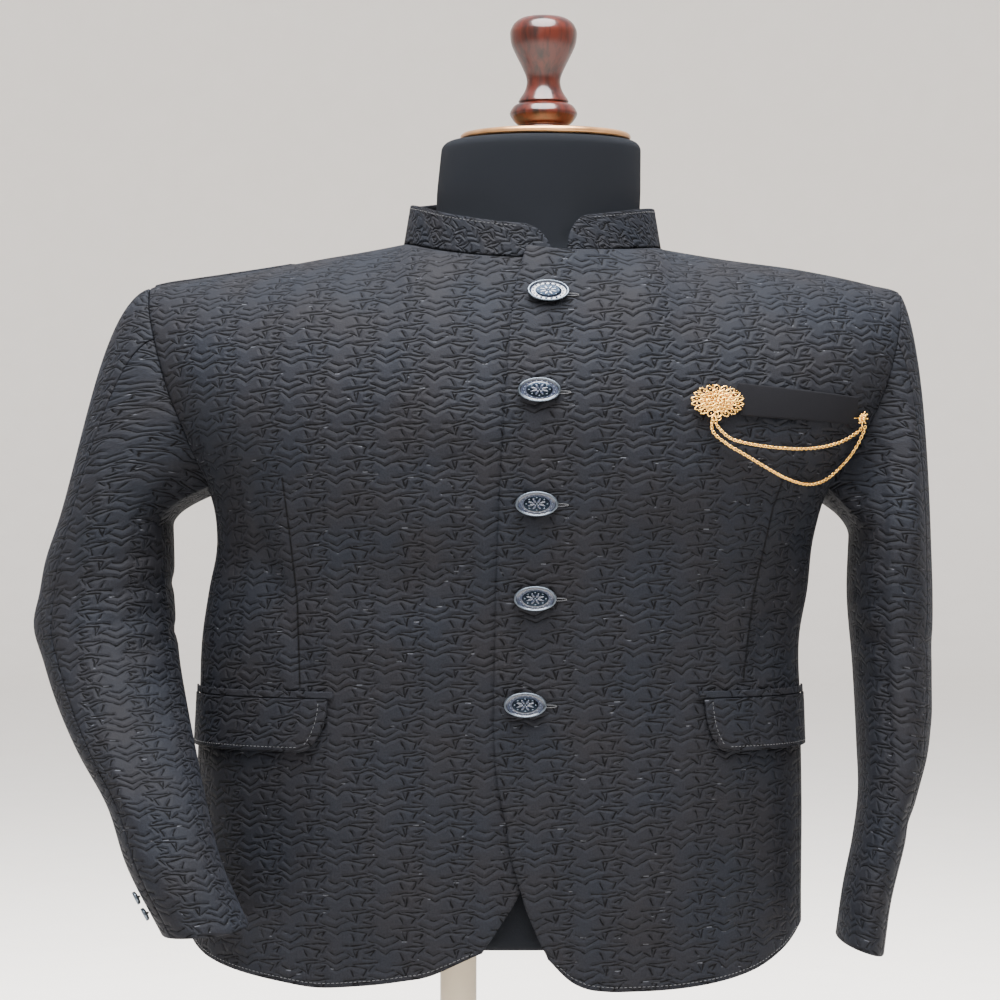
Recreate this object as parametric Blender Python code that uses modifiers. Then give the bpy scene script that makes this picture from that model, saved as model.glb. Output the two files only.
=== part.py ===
"""A bandhgala jacket on a limbless dress form.

The cloth is cut as a tailor cuts it: fronts, side bodies, backs, a stand collar and two-piece
sleeves, each a thin wall of its own. The form, its neck disc and its stand carry it.

Tables and lengths are in millimetres and become metres when a mesh is made. +Z is up, the
jacket faces -Y, and +X is the wearer's left. The origin is under the middle of the stand.
"""
import bisect
import functools
import math

import bmesh
import bpy
import numpy as np
from mathutils import Matrix, Vector

COLLECTION = "Bandhgala jacket"
MM = 0.001

# cloth
WALL = 2.2
SEAM = 0.6
LAY = 0.7
LAP_RISE = 3.0
LAP_FADE = 45.0
LEFT, RIGHT = 1, -1
FRONT, BACK = -1, 1

# levels and seams
ARMPIT_Z = 500.0
UNDERARM_SCOOP = 7.0
SIDE_FRONT_ANGLE = 72.0
SIDE_BACK_ANGLE = 118.0
SHOULDER_FALL = 130.0

# mesh columns and rows of the panels
NECK_STEPS = {FRONT: 6, BACK: 6}
SHOULDER_STEPS = {FRONT: 6, BACK: 5}
SIDE_STEPS = 4
LOW_ROWS, HIGH_ROWS = 15, 10
LOW_CROWD, HIGH_CROWD = 1.2, 1.9

# neck
NECK_X, NECK_Y = 57.0, 6.0
NECK_HALF, NECK_FRONT, NECK_BACK = 99.0, 94.0, 72.0
SHOULDER_X = {LEFT: 339.0, RIGHT: -237.0}

# body outline: rings from under the hem to over the shoulders
BODY_COLUMNS = ("z", "centre", "half", "front", "back", "square")
BODY = (
    (120, 28.0, 235.0, 144, 132, 2.5),
    (190, 29.5, 233.0, 142, 128, 2.5),
    (250, 31.0, 232.0, 140, 121, 2.5),
    (330, 32.0, 230.0, 138, 114, 2.5),
    (390, 33.0, 228.5, 137, 113, 2.5),
    (420, 38.0, 229.0, 138, 117, 2.5),
    (460, 43.6, 228.0, 141, 126, 2.6),
    (500, 46.0, 238.0, 143, 134, 2.7),
    (545, 47.0, 275.0, 143, 142, 2.3),
    (595, 50.0, 300.0, 139, 146, 2.2),
    (640, 51.0, 312.0, 135, 140, 2.2),
    (700, 51.0, 312.0, 130, 130, 2.2),
)

# shoulder seam heights from the neck out, by distance from the neck's centre
SHOULDER_COLUMNS = ("out", "left", "right")
SHOULDER = (
    (99, 682.5, 686.0),
    (150, 674.5, 677.0),
    (205, 667.0, 667.5),
    (262, 655.0, 659.0),
    (282, 649.5, 656.0),
    (294, 640.0, 653.0),
)

# neckline heights by x
NECKLINE_COLUMNS = ("x", "left", "right", "back")
NECKLINE = (
    (-42, 686.0, 686.0, 686.0),
    (-20, 684.0, 679.0, 690.0),
    (10, 681.0, 673.5, 692.0),
    (45, 679.0, 670.5, 693.0),
    (82, 675.7, 670.5, 692.5),
    (120, 677.5, 672.0, 690.0),
    (156, 682.5, 676.0, 682.5),
)

# armhole seam in front view, from the underarm up
ARMHOLE_COLUMNS = ("rise", "left", "right")
ARMHOLE = (
    (0.00, 281.5, -187.5),
    (0.16, 299.0, -198.0),
    (0.30, 311.0, -206.5),
    (0.45, 321.5, -216.5),
    (0.60, 328.5, -224.0),
    (0.74, 333.5, -230.0),
    (0.88, 337.5, -235.0),
    (1.00, 339.0, -237.0),
)

# front edges by height: the upper lap and the lower lap that it covers
EDGE_COLUMNS = ("z", "left", "right")
EDGE = (
    (130, 66.0, 17.5),
    (158, 66.0, 17.5),
    (166, 61.8, 23.0),
    (179, 56.0, 31.5),
    (196, 49.5, 42.5),
    (212, 45.0, 50.0),
    (232, 39.3, 57.5),
    (253, 36.4, 63.0),
    (281, 30.5, 67.0),
    (301, 28.4, 68.0),
    (345, 27.6, 68.0),
    (388, 28.4, 68.0),
    (446, 29.8, 69.0),
    (526, 33.5, 72.0),
    (563, 35.6, 75.0),
    (615, 39.3, 79.0),
    (645, 43.0, 82.0),
    (680, 52.0, 85.0),
)
EDGE_TOP = 676.0

# hem heights round the body, by angle from the front
HEM_COLUMNS = ("angle", "left", "right")
HEM = (
    (-10, 158.0, 158.0),
    (3, 158.0, 160.6),
    (6, 158.0, 154.0),
    (9, 157.8, 148.0),
    (11, 148.3, 144.5),
    (13, 141.0, 142.0),
    (16, 134.6, 140.0),
    (20, 131.8, 137.5),
    (25, 131.5, 135.3),
    (32, 132.2, 133.5),
    (40, 135.2, 137.0),
    (50, 142.5, 142.3),
    (60, 154.0, 148.5),
    (72, 167.0, 157.0),
    (90, 169.0, 163.0),
    (118, 165.0, 160.0),
    (150, 157.0, 156.0),
    (180, 152.0, 152.0),
)

# sleeve sections from the cuff up to the underarm
SLEEVE_COLUMNS = ("z", "centre_x", "centre_y", "half_x", "half_y", "tilt")
SLEEVES = {
    RIGHT: (
        (178, -181.5, -146.0, 31.0, 46.0, -0.10),
        (226, -206.0, -134.0, 34.0, 47.0, -0.04),
        (267, -220.5, -113.0, 36.5, 49.0, 0.00),
        (303, -238.0, -84.0, 43.5, 52.0, 0.00),
        (338, -253.0, -52.0, 48.5, 56.0, 0.00),
        (366, -262.5, -30.0, 51.0, 60.0, 0.00),
        (390, -268.5, -14.0, 53.0, 64.0, 0.00),
        (415, -269.5, -3.0, 51.0, 67.0, 0.00),
        (442, -268.0, 2.0, 49.0, 69.0, 0.00),
        (470, -264.0, 4.0, 44.0, 70.0, 0.00),
    ),
    LEFT: (
        (155, 303.0, -50.0, 17.0, 55.0, -0.32),
        (195, 309.0, -48.0, 17.0, 56.0, -0.25),
        (230, 317.5, -43.0, 18.0, 58.0, -0.15),
        (265, 325.0, -36.0, 20.5, 61.0, -0.06),
        (305, 331.0, -24.0, 26.5, 65.0, 0.00),
        (362, 332.0, -10.0, 29.0, 70.0, 0.00),
        (420, 331.0, -2.0, 31.5, 75.0, 0.00),
        (462, 331.5, 2.0, 30.0, 78.0, 0.00),
    ),
}
SLEEVE_SQUARE = 2.25
SLEEVE_COLUMNS_ROUND = 24
SLEEVE_HEAD_ROWS, SLEEVE_BODY_ROWS = 5, 13
SLEEVE_FRONT_SEAM, SLEEVE_BACK_SEAM = 7, 18
SLEEVE_GAP = 0.8
SLEEVE_TRIM = 0.025
HEAD_PUSH = {LEFT: 12.0, RIGHT: 12.0}
HEAD_DROP = {LEFT: 2.0, RIGHT: 0.45}

# collar
COLLAR_WALL = 2.6
COLLAR_BASE_GAP = 0.8
COLLAR_START, COLLAR_END = -8.2, 345.0
COLLAR_LEAN = 5.0
COLLAR_END_ROUND = {"start": 13.0, "end": 11.0}
COLLAR_HEIGHT_COLUMNS = ("angle", "height")
COLLAR_HEIGHT = (
    (-10, 24.0),
    (30, 27.0),
    (90, 30.0),
    (180, 31.0),
    (270, 30.5),
    (320, 28.0),
    (346, 25.5),
)

# pockets, as angles round the body and heights
FLAP_TOP, FLAP_BOTTOM = 344.0, 305.0
FLAP_SPAN = {LEFT: (37.4, 86.0), RIGHT: (31.0, 84.0)}
FLAP_CORNER = 0.10
FLAP_THICK = 2.2
JET_HEIGHT, JET_GAP, JET_THICK = 5.0, 0.6, 1.6
WELT_COLUMNS = ("x", "low", "high")
WELT = ((206, 551.5, 575.5), (298, 546.5, 567.0))
WELT_THICK = 2.0

# metal, with buttons and chains given by x and z on the front
BUTTONS = ((66.9, 640.6), (60.4, 568.6), (58.6, 487.5), (57.5, 418.7), (50.2, 340.8))
BUTTON_WIDE, BUTTON_HIGH, BUTTON_THICK, BUTTON_STAND = 31.3, 18.2, 3.4, 1.6
SHANK_RADIUS = 3.0
CUFF_BUTTON_WIDE, CUFF_BUTTON_THICK = 10.0, 3.0
CUFF_BUTTON_HEIGHTS = (17.0, 28.0)
CUFF_BUTTON_CLEAR = {LEFT: 0.6, RIGHT: 0.1}
CUFF_BUTTON_TURN = {LEFT: math.radians(205), RIGHT: math.radians(160)}
BROOCH_X, BROOCH_Z, BROOCH_WIDE, BROOCH_HIGH = 190.0, 561.7, 41.0, 24.5
BROOCH_PETALS, BROOCH_THICK, BROOCH_LIFT = 18, 3.0, 0.5
SMALL_X, SMALL_Z, SMALL_WIDE, SMALL_HIGH, SMALL_PETALS = 300.5, 552.0, 11.5, 10.5, 8
CHAIN_RADIUS = 0.9
CHAIN_CLEAR = 5.0
CHAINS = {
    "upper": ((188.4, 549.9), (189, 544.5), (198, 535.5), (211, 531.5), (230, 529), (250, 528.4), (268, 530.5),
              (284, 535.5), (296.5, 543), (299.2, 547)),
    "lower": ((185.7, 549.9), (186, 540), (196, 531), (209, 523.5), (224, 515), (240, 507), (256, 503.2),
              (270, 506.5), (282, 516), (292, 527), (299.5, 540), (301.8, 547)),
}

# dress form, inside the cloth
FORM_CLEAR = 9.0
RIDGE_CLEAR = 0.85
FORM_BOTTOM = 160.0
FORM_ROUND = 30
FORM_NECK_HALF = 84.0
FORM_SIDE = {LEFT: 308.0, RIGHT: -206.0}
NECK_TOP = 765.5
NECK_COLUMNS = ("z", "centre", "half", "front", "back")
NECK = (
    (670, 58.0, 99.0, 83.0, 61.5),
    (693, 60.3, 82.5, 79.0, 61.0),
    (702, 60.8, 79.8, 78.0, 60.5),
    (730, 62.0, 78.3, 77.0, 60.0),
    (766, 64.0, 76.5, 76.0, 59.0),
)
FORM_LEVELS = (
    190, 230, 275, 320, 360, 395, 430, 465, 500, 530, 560, 585, 608, 628, 642, 651,
    658, 664, 669, 674, 678, 682, 686, 693, 702, 730, 750,
)
DISC_X, DISC_RADIUS, DISC_THICK = 67.0, 65.5, 5.6
TOUCH = 0.3

# finial, by radius and height
FINIAL_X = 65.5
FINIAL = (
    (0.0, 90.4), (9.0, 90.2), (16.5, 88.8), (22.0, 85.3), (25.0, 80.5), (25.8, 76.0), (24.6, 68.0),
    (20.8, 59.5), (16.8, 51.5), (13.6, 44.0), (13.0, 38.5), (14.6, 32.5), (18.2, 26.8), (19.4, 24.4),
    (18.6, 23.4), (22.4, 21.4), (25.2, 17.6), (25.9, 14.4), (23.0, 9.4), (19.6, 6.2), (20.4, 4.6),
    (20.4, 0.0), (0.0, 0.0),
)
POLE_RADIUS, BASE_RADIUS, BASE_THICK = 14.0, 150.0, 18.0


def clear_scene():
    """Start from an empty scene."""
    for item in list(bpy.data.objects):
        bpy.data.objects.remove(item, do_unlink=True)


@functools.lru_cache(maxsize=None)
def column_fit(columns, rows, name):
    """A table's first column, one named column and that column's slopes."""
    along = [float(row[0]) for row in rows]
    values = [float(row[columns.index(name)]) for row in rows]
    return along, values, np.gradient(values, along).tolist()


def curve(columns, rows, name, at):
    """Smooth value of one named column, read along the table's first column."""
    along, values, slopes = column_fit(columns, rows, name)
    at = min(max(at, along[0]), along[-1])
    i = min(bisect.bisect_right(along, at) - 1, len(along) - 2)
    step = along[i + 1] - along[i]
    t = (at - along[i]) / step
    return ((2 * t ** 3 - 3 * t ** 2 + 1) * values[i] + (t ** 3 - 2 * t ** 2 + t) * step * slopes[i]
            + (3 * t ** 2 - 2 * t ** 3) * values[i + 1] + (t ** 3 - t ** 2) * step * slopes[i + 1])


def line(columns, rows, name, at):
    """Straight-line value of one named column."""
    along, values, _ = column_fit(columns, rows, name)
    return float(np.interp(at, along, values))


def smooth(t):
    """Ease from 0 to 1."""
    t = min(max(t, 0.0), 1.0)
    return t * t * (3 - 2 * t)


def side_name(side):
    return "left" if side == LEFT else "right"


def ring(z):
    """The body's ring at a height: centre, half width, depths and squareness."""
    return [curve(BODY_COLUMNS, BODY, name, z) for name in BODY_COLUMNS[1:]]


def body_point(angle, z, out=0.0):
    """A point of the outer cloth under the armholes, by signed angle from the front."""
    centre, half, front, back, square = ring(z)
    sine, cosine = math.sin(math.radians(angle)), math.cos(math.radians(angle))
    reach = (abs(sine) ** square + abs(cosine) ** square) ** (-1 / square)
    depth = front if cosine > 0 else back
    return Vector((centre + (half + out) * reach * sine, -(depth + out) * reach * cosine, z))


def body_angle(x, z):
    """Signed angle of the front cloth at x."""
    centre, half, _, _, square = ring(z)
    across = (x - centre) / half
    along = (1 - min(abs(across), 1.0) ** square) ** (1 / square)
    return math.degrees(math.atan2(across, along))


def full_depth(x, z, face):
    """Depth of the plain ring at x, before the shoulders fall away."""
    centre, half, front, back, square = ring(z)
    across = min(abs(x - centre) / half, 1.0)
    return face * (front if face == FRONT else back) * (1 - across ** square) ** (1 / square)


def top_line(x, side, face):
    """Depth, height and roundness of the neckline or shoulder seam above x."""
    out = abs(x - NECK_X)
    if out >= NECK_HALF:
        return NECK_Y, curve(SHOULDER_COLUMNS, SHOULDER, side_name(side), out), 0.5
    depth = NECK_FRONT if face == FRONT else NECK_BACK
    y = NECK_Y + face * depth * math.sqrt(1 - (out / NECK_HALF) ** 2)
    column = "back" if face == BACK else side_name(side)
    bend = 0.5 + 0.5 * (1 - smooth((out - 30) / (NECK_HALF - 30)))
    return y, curve(NECKLINE_COLUMNS, NECKLINE, column, x), bend


def cloth_y(x, z, side, face):
    """Depth of the outer cloth at x and z, front or back."""
    y_top, z_top, bend = top_line(x, side, face)
    fall = min(max((z_top - z) / SHOULDER_FALL, 0.0), 1.0)
    return y_top + (full_depth(x, z, face) - y_top) * (1 - (1 - fall) ** 2) ** bend


def cloth_normal(x, z, side, face):
    """Outward direction of the cloth at x and z."""
    step = 3.0
    across = cloth_y(x + step, z, side, face) - cloth_y(x - step, z, side, face)
    up = cloth_y(x, z + step, side, face) - cloth_y(x, z - step, side, face)
    normal = Vector((2 * step, across, 0)).cross(Vector((0, up, 2 * step)))
    normal.normalize()
    return normal if normal.y * face > 0 else -normal


def lap_rise(x, z):
    """How far the upper lap stands off the lower one."""
    under = curve(EDGE_COLUMNS, EDGE, "right", z)
    return LAP_RISE * (1 - smooth((x - under - 4) / LAP_FADE)) * max(smooth((z - 172) / 22), 0.1)


def front_cloth(x, z, side, out=0.0):
    """A point of a front at x and z, with the upper lap's rise and a distance out."""
    y = cloth_y(x, z, side, FRONT)
    if side == LEFT:
        out += lap_rise(x, z)
    point = Vector((x, y, z))
    if out:
        point += cloth_normal(x, z, side, FRONT) * out
    return point


def armhole_x(rise, side):
    return curve(ARMHOLE_COLUMNS, ARMHOLE, side_name(side), rise)


def panel_columns(face):
    return NECK_STEPS[face] + SHOULDER_STEPS[face]


def top_x(k, start, side, face):
    """Where column k meets the neckline or the shoulder seam."""
    if k <= NECK_STEPS[face]:
        first = math.asin((start - NECK_X) / NECK_HALF * side)
        turn = first + (math.pi / 2 - first) * k / NECK_STEPS[face]
        return NECK_X + side * NECK_HALF * math.sin(turn)
    side_neck = NECK_X + side * NECK_HALF
    share = (k - NECK_STEPS[face]) / SHOULDER_STEPS[face]
    return side_neck + (SHOULDER_X[side] - side_neck) * (1.35 * share - 0.35 * share ** 2)


def seam_angle(face, side):
    """Signed angle of a front's or a back's edge along the panel under the arm."""
    trim = math.degrees(SEAM / 2 / ring(300)[1])
    return side * (SIDE_FRONT_ANGLE - trim if face == FRONT else SIDE_BACK_ANGLE + trim)


def inner_angle(z, side, face):
    """Signed angle of the front edge, or of the centre-back seam."""
    if face == FRONT:
        return body_angle(curve(EDGE_COLUMNS, EDGE, side_name(side), z), z)
    return side * (180 - math.degrees(SEAM / 2 / ring(z)[3]))


def low_point(share, row, side, face):
    """A point of a front or a back under the armholes."""
    seam = seam_angle(face, side)
    guess = inner_angle(150, side, face)
    hem = curve(HEM_COLUMNS, HEM, side_name(side), side * (guess + (seam - guess) * share))
    z = hem + (ARMPIT_Z - hem) * (row / LOW_ROWS) ** LOW_CROWD
    start = inner_angle(z, side, face)
    point = body_point(start + (seam - start) * share, z)
    return front_cloth(point.x, z, side) if face == FRONT and share < 1 else point


def panel_point(k, row, side, face):
    """A point of a front or a back: column k from its inner edge out, row from the hem up."""
    share = k / panel_columns(face)
    if row <= LOW_ROWS:
        return low_point(share, max(row, 0), side, face)
    rise = 1 - (1 - min((row - LOW_ROWS) / HIGH_ROWS, 1)) ** HIGH_CROWD
    seam, start = seam_angle(face, side), inner_angle(ARMPIT_Z, side, face)
    low_edge = body_point(start, ARMPIT_Z).x
    low_arm = body_point(seam, ARMPIT_Z).x
    low_part = (body_point(start + (seam - start) * share, ARMPIT_Z).x - low_edge) / (low_arm - low_edge)
    top_edge = NECK_X + side * SEAM / 2
    if face == FRONT:
        top_edge = curve(EDGE_COLUMNS, EDGE, side_name(side), EDGE_TOP)
    top = top_x(k, top_edge, side, face)
    top_part = (top - top_edge) / (SHOULDER_X[side] - top_edge)
    z = ARMPIT_Z + rise * (top_line(top, side, face)[1] - ARMPIT_Z)
    edge = low_edge + (top_edge - low_edge) * rise
    if face == FRONT:
        edge = curve(EDGE_COLUMNS, EDGE, side_name(side), z)
    arm = armhole_x(rise, side) + (low_arm - armhole_x(0.0, side)) * (1 - rise)
    x = edge + (low_part + (top_part - low_part) * rise) * (arm - edge)
    shift = Vector((0, face * SEAM / 2 * rise, 0))
    if face == FRONT:
        return front_cloth(x, z, side) + shift
    return Vector((x, cloth_y(x, z, side, face), z)) + shift


def side_point(k, row, side):
    """A point of the panel under the arm: column k from its front seam, row from the hem up."""
    share = k / SIDE_STEPS
    front, back = (side * seam_angle(face, side) for face in (FRONT, BACK))
    trim = math.degrees(SEAM / ring(300)[1])
    angle = front + trim + (back - front - 2 * trim) * share
    hem = curve(HEM_COLUMNS, HEM, side_name(side), angle)
    top = ARMPIT_Z - UNDERARM_SCOOP * math.sin(math.pi * share) ** 2
    return body_point(side * angle, hem + (top - hem) * (max(row, 0) / LOW_ROWS) ** LOW_CROWD)


def material(name, colour, roughness, metallic=0.0):
    found = bpy.data.materials.get(name)
    if found:
        return found
    made = bpy.data.materials.new(name)
    made.use_nodes = True
    shader = made.node_tree.nodes["Principled BSDF"]
    shader.inputs["Base Color"].default_value = (*colour, 1)
    shader.inputs["Roughness"].default_value = roughness
    shader.inputs["Metallic"].default_value = metallic
    return made


def cloth():
    return material("jacquard", (0.016, 0.018, 0.026), 0.8)


def silver():
    return material("antique silver", (0.42, 0.44, 0.47), 0.35, 1.0)


def gold():
    return material("gilt brass", (0.80, 0.55, 0.22), 0.3, 1.0)


def add_object(name, bm, finish):
    """Put a bmesh in millimetres into the scene as a named object in metres."""
    for vertex in bm.verts:
        vertex.co *= MM
    mesh = bpy.data.meshes.new(name)
    bm.to_mesh(mesh)
    bm.free()
    mesh.materials.append(finish)
    mesh.shade_smooth()
    made = bpy.data.objects.new(name, mesh)
    bpy.data.collections[COLLECTION].objects.link(made)
    return made


def surface_normals(columns, rows, place, inside):
    """Outward directions at the points of a grid, true to the surface at its edges too."""
    reach = 0.3
    normals, outward = {}, 0.0
    for column in range(columns + 1):
        for row in range(rows + 1):
            across = place(column + reach, row) - place(column - reach, row)
            up = place(column, min(row + reach, rows)) - place(column, max(row - reach, 0))
            normal = across.cross(up).normalized()
            point = place(column, row)
            outward += normal.dot(point - inside(point))
            normals[column, row] = normal
    if outward < 0:
        normals = {key: -normal for key, normal in normals.items()}
    return normals


def grid(columns, rows, place):
    """A grid whose points are put where place(column, row) says."""
    bm = bmesh.new()
    bmesh.ops.create_grid(bm, x_segments=columns, y_segments=rows, size=0.5)
    tag = bm.verts.layers.int.new("grid")
    for vertex in bm.verts:
        column = round((vertex.co.x + 0.5) * columns)
        row = round((vertex.co.y + 0.5) * rows)
        vertex[tag] = column * (rows + 1) + row
        vertex.co = place(column, row)
    return bm, tag


def wall(name, columns, rows, place, inside, finish, thick=WALL, rims=None):
    """A cloth wall: outer points from place(column, row), the same points moved in, and rims between."""
    normals = surface_normals(columns, rows, place, inside)
    normals.update(rims(normals) if rims else {})
    bm, tag = grid(columns, rows, place)
    extruded = bmesh.ops.extrude_face_region(bm, geom=bm.faces[:], use_keep_orig=True)
    for vertex in extruded["geom"]:
        if isinstance(vertex, bmesh.types.BMVert):
            vertex.co -= normals[divmod(vertex[tag], rows + 1)] * thick
    bmesh.ops.recalc_face_normals(bm, faces=bm.faces[:])
    return add_object(name, bm, finish)


def body_axis(point):
    return Vector((ring(point.z)[0], NECK_Y, point.z))


def shoulder_rim(face):
    """Upright rims along the shoulder seam, so that front and back meet without crossing."""
    def rims(normals):
        top = LOW_ROWS + HIGH_ROWS
        found = {}
        for column in range(NECK_STEPS[face], panel_columns(face) + 1):
            normal = normals[column, top]
            found[column, top] = Vector((normal.x, 0, normal.z)).normalized()
        return found
    return rims


def build_panels():
    for side in (LEFT, RIGHT):
        for face, name in ((FRONT, "front_"), (BACK, "back_")):
            wall(name + side_name(side), panel_columns(face), LOW_ROWS + HIGH_ROWS,
                 lambda k, row: panel_point(k, row, side, face), body_axis, cloth(), rims=shoulder_rim(face))
        wall("side_body_" + side_name(side), SIDE_STEPS, LOW_ROWS, lambda k, row: side_point(k, row, side),
             body_axis, cloth())


def armhole_loop(side):
    """Points and normals of the panels' edges round an armhole: underarm, front, shoulder, back."""
    top = LOW_ROWS + HIGH_ROWS
    edges = {}
    for face in (FRONT, BACK):
        columns = panel_columns(face)

        def place(k, row):
            return panel_point(k, row, side, face)

        for row in range(LOW_ROWS, top + 1):
            across = place(columns + 0.3, row) - place(columns - 0.3, row)
            up = place(columns, min(row + 0.3, top)) - place(columns, row - 0.3)
            normal = across.cross(up).normalized()
            point = place(columns, row)
            if normal.dot(point - body_axis(point)) < 0:
                normal = -normal
            edges[face, row] = (point, normal)
        point, normal = edges[face, top]
        edges[face, top] = (point, Vector((normal.x, 0, normal.z)).normalized())

    def under(k):
        point = side_point(k, LOW_ROWS, side)
        across = side_point(k + 0.3, LOW_ROWS, side) - side_point(k - 0.3, LOW_ROWS, side)
        normal = across.cross(point - side_point(k, LOW_ROWS - 0.3, side)).normalized()
        return point, normal if normal.x * side > 0 else -normal

    def between(first, second):
        return (first[0] + second[0]) / 2, (first[1] + second[1]).normalized()

    middle = SIDE_STEPS // 2
    loop = [under(k) for k in range(middle, 0, -1)]
    loop.append(between(under(0), edges[FRONT, LOW_ROWS]))
    loop += [edges[FRONT, row] for row in range(LOW_ROWS + 1, top)]
    loop.append(between(edges[FRONT, top], edges[BACK, top]))
    loop += [edges[BACK, row] for row in range(top - 1, LOW_ROWS, -1)]
    loop.append(between(under(SIDE_STEPS), edges[BACK, LOW_ROWS]))
    loop += [under(k) for k in range(SIDE_STEPS - 1, middle, -1)]
    return loop


def loop_turns(loop):
    """The turn round the sleeve that belongs to each point of the armhole, by length along its two halves."""
    points = [point for point, _ in loop] + [loop[0][0]]
    lengths = [(b - a).length for a, b in zip(points, points[1:])]
    half = len(loop) // 2
    turns = [0.0]
    for i, length in enumerate(lengths):
        whole = sum(lengths[:half]) if i < half else sum(lengths[half:])
        turns.append(turns[-1] + math.pi * length / whole)
    return turns


def sleeve_section(side, z):
    """A sleeve's section at a height: centre, half sizes and the tilt of its level."""
    return [curve(SLEEVE_COLUMNS, SLEEVES[side], name, z) for name in SLEEVE_COLUMNS[1:]]


def section_point(side, turn, z):
    """A point round a sleeve: turn 0 faces the body, a quarter turn faces front."""
    centre_x, centre_y, half_x, half_y, tilt = sleeve_section(side, z)
    reach = (abs(math.cos(turn)) ** SLEEVE_SQUARE + abs(math.sin(turn)) ** SLEEVE_SQUARE) ** (-1 / SLEEVE_SQUARE)
    x = centre_x - side * half_x * reach * math.cos(turn)
    return Vector((x, centre_y - half_y * reach * math.sin(turn), z + tilt * side * (x - centre_x)))


def sleeve_maker(side):
    """A function that gives the sleeve's points: column round from the underarm, row down from the armhole."""
    loop = armhole_loop(side)
    turns = loop_turns(loop)
    count = len(loop)
    cuff_z, top_z = SLEEVES[side][0][0], SLEEVES[side][-1][0]

    def at(column):
        column %= count
        first = int(column)
        part = column - first
        (point_a, normal_a), (point_b, normal_b) = loop[first], loop[(first + 1) % count]
        before, after = loop[first - 1][0], loop[(first + 2) % count][0]
        turn = turns[first] + (turns[first + 1] - turns[first]) * part
        along = (point_b - before) * (1 - part) + (after - point_a) * part
        normal = (normal_a * (1 - part) + normal_b * part).normalized()
        return turn, point_a.lerp(point_b, part), normal, along

    def point(column, row):
        turn, start, normal, along = at(column)
        if row >= SLEEVE_HEAD_ROWS:
            z = top_z + (cuff_z - top_z) * (row - SLEEVE_HEAD_ROWS) / SLEEVE_BODY_ROWS
            return section_point(side, turn, z)
        leave = normal.cross(along).normalized()
        middle = Vector((ring(ARMPIT_Z)[0], NECK_Y, ARMPIT_Z - 60))
        if leave.dot(start - middle) < 0:
            leave = -leave
        start = start + leave * SLEEVE_GAP
        high = (1 - math.cos(turn)) / 2
        end = section_point(side, turn, top_z)
        down = (section_point(side, turn, top_z - 8) - end).normalized()
        out = Vector((side, 0, -HEAD_DROP[side] + 0.25 * high)).normalized()
        reach = (end - start).length
        push = out * (reach * 0.5 + HEAD_PUSH[side] * high)
        t = row / SLEEVE_HEAD_ROWS
        return (start * (2 * t ** 3 - 3 * t ** 2 + 1) + push * (t ** 3 - 2 * t ** 2 + t)
                + end * (3 * t ** 2 - 2 * t ** 3) + down * reach * 0.8 * (t ** 3 - t ** 2))

    def rim(column):
        return at(column)[2]

    return point, rim


def build_sleeves():
    rows = SLEEVE_HEAD_ROWS + SLEEVE_BODY_ROWS
    spans = {"top": (SLEEVE_FRONT_SEAM, SLEEVE_BACK_SEAM - SLEEVE_FRONT_SEAM),
             "under": (SLEEVE_BACK_SEAM, SLEEVE_FRONT_SEAM + SLEEVE_COLUMNS_ROUND - SLEEVE_BACK_SEAM)}
    for side in (LEFT, RIGHT):
        point, rim = sleeve_maker(side)

        def middle(where):
            section = sleeve_section(side, where.z)
            return Vector((section[0], section[1], where.z))

        for name, (start, steps) in spans.items():
            def column_at(k):
                return start + SLEEVE_TRIM + (steps - 2 * SLEEVE_TRIM) * k / steps

            wall("%s_sleeve_%s" % (name, side_name(side)), steps, rows, lambda k, row: point(column_at(k), row),
                 middle, cloth(), rims=lambda normals: {(k, 0): rim(column_at(k)) for k in range(steps + 1)})


def collar_point(share, rise):
    """A point of the stand collar, from the wearer's right end round the back to the left end."""
    rise = min(max(rise, 0.0), 1.0)
    span = COLLAR_END - COLLAR_START
    away = 1 - math.sqrt(1 - rise ** 2)
    first = COLLAR_START + COLLAR_END_ROUND["start"] * away
    last = COLLAR_START + span - COLLAR_END_ROUND["end"] * away
    angle = first + (last - first) * share
    turn = math.radians(angle)
    x = NECK_X - NECK_HALF * math.sin(turn)
    is_front = math.cos(turn) > 0
    y = NECK_Y - (NECK_FRONT if is_front else NECK_BACK) * math.cos(turn)
    column = "back" if not is_front else ("right" if angle < 180 else "left")
    base = curve(NECKLINE_COLUMNS, NECKLINE, column, x) + COLLAR_BASE_GAP
    height = curve(COLLAR_HEIGHT_COLUMNS, COLLAR_HEIGHT, "height", angle)
    inward = Vector((NECK_X - x, NECK_Y - y, 0)).normalized() * COLLAR_LEAN * rise
    return Vector((x, y, base + height * rise)) + inward


def build_collar():
    columns, rows = 38, 3
    wall("collar", columns, rows, lambda k, row: collar_point(k / columns, row / rows),
         lambda point: Vector((NECK_X, NECK_Y, point.z)), cloth(), COLLAR_WALL)


def flap_point(side, share, drop, out):
    """A point on or over the hip, from the flap's front end round to the side."""
    start, end = FLAP_SPAN[side]
    angle = start + (end - start) * share
    z = FLAP_TOP - (FLAP_TOP - FLAP_BOTTOM) * drop
    return body_point(side * angle, z, out)


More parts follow.
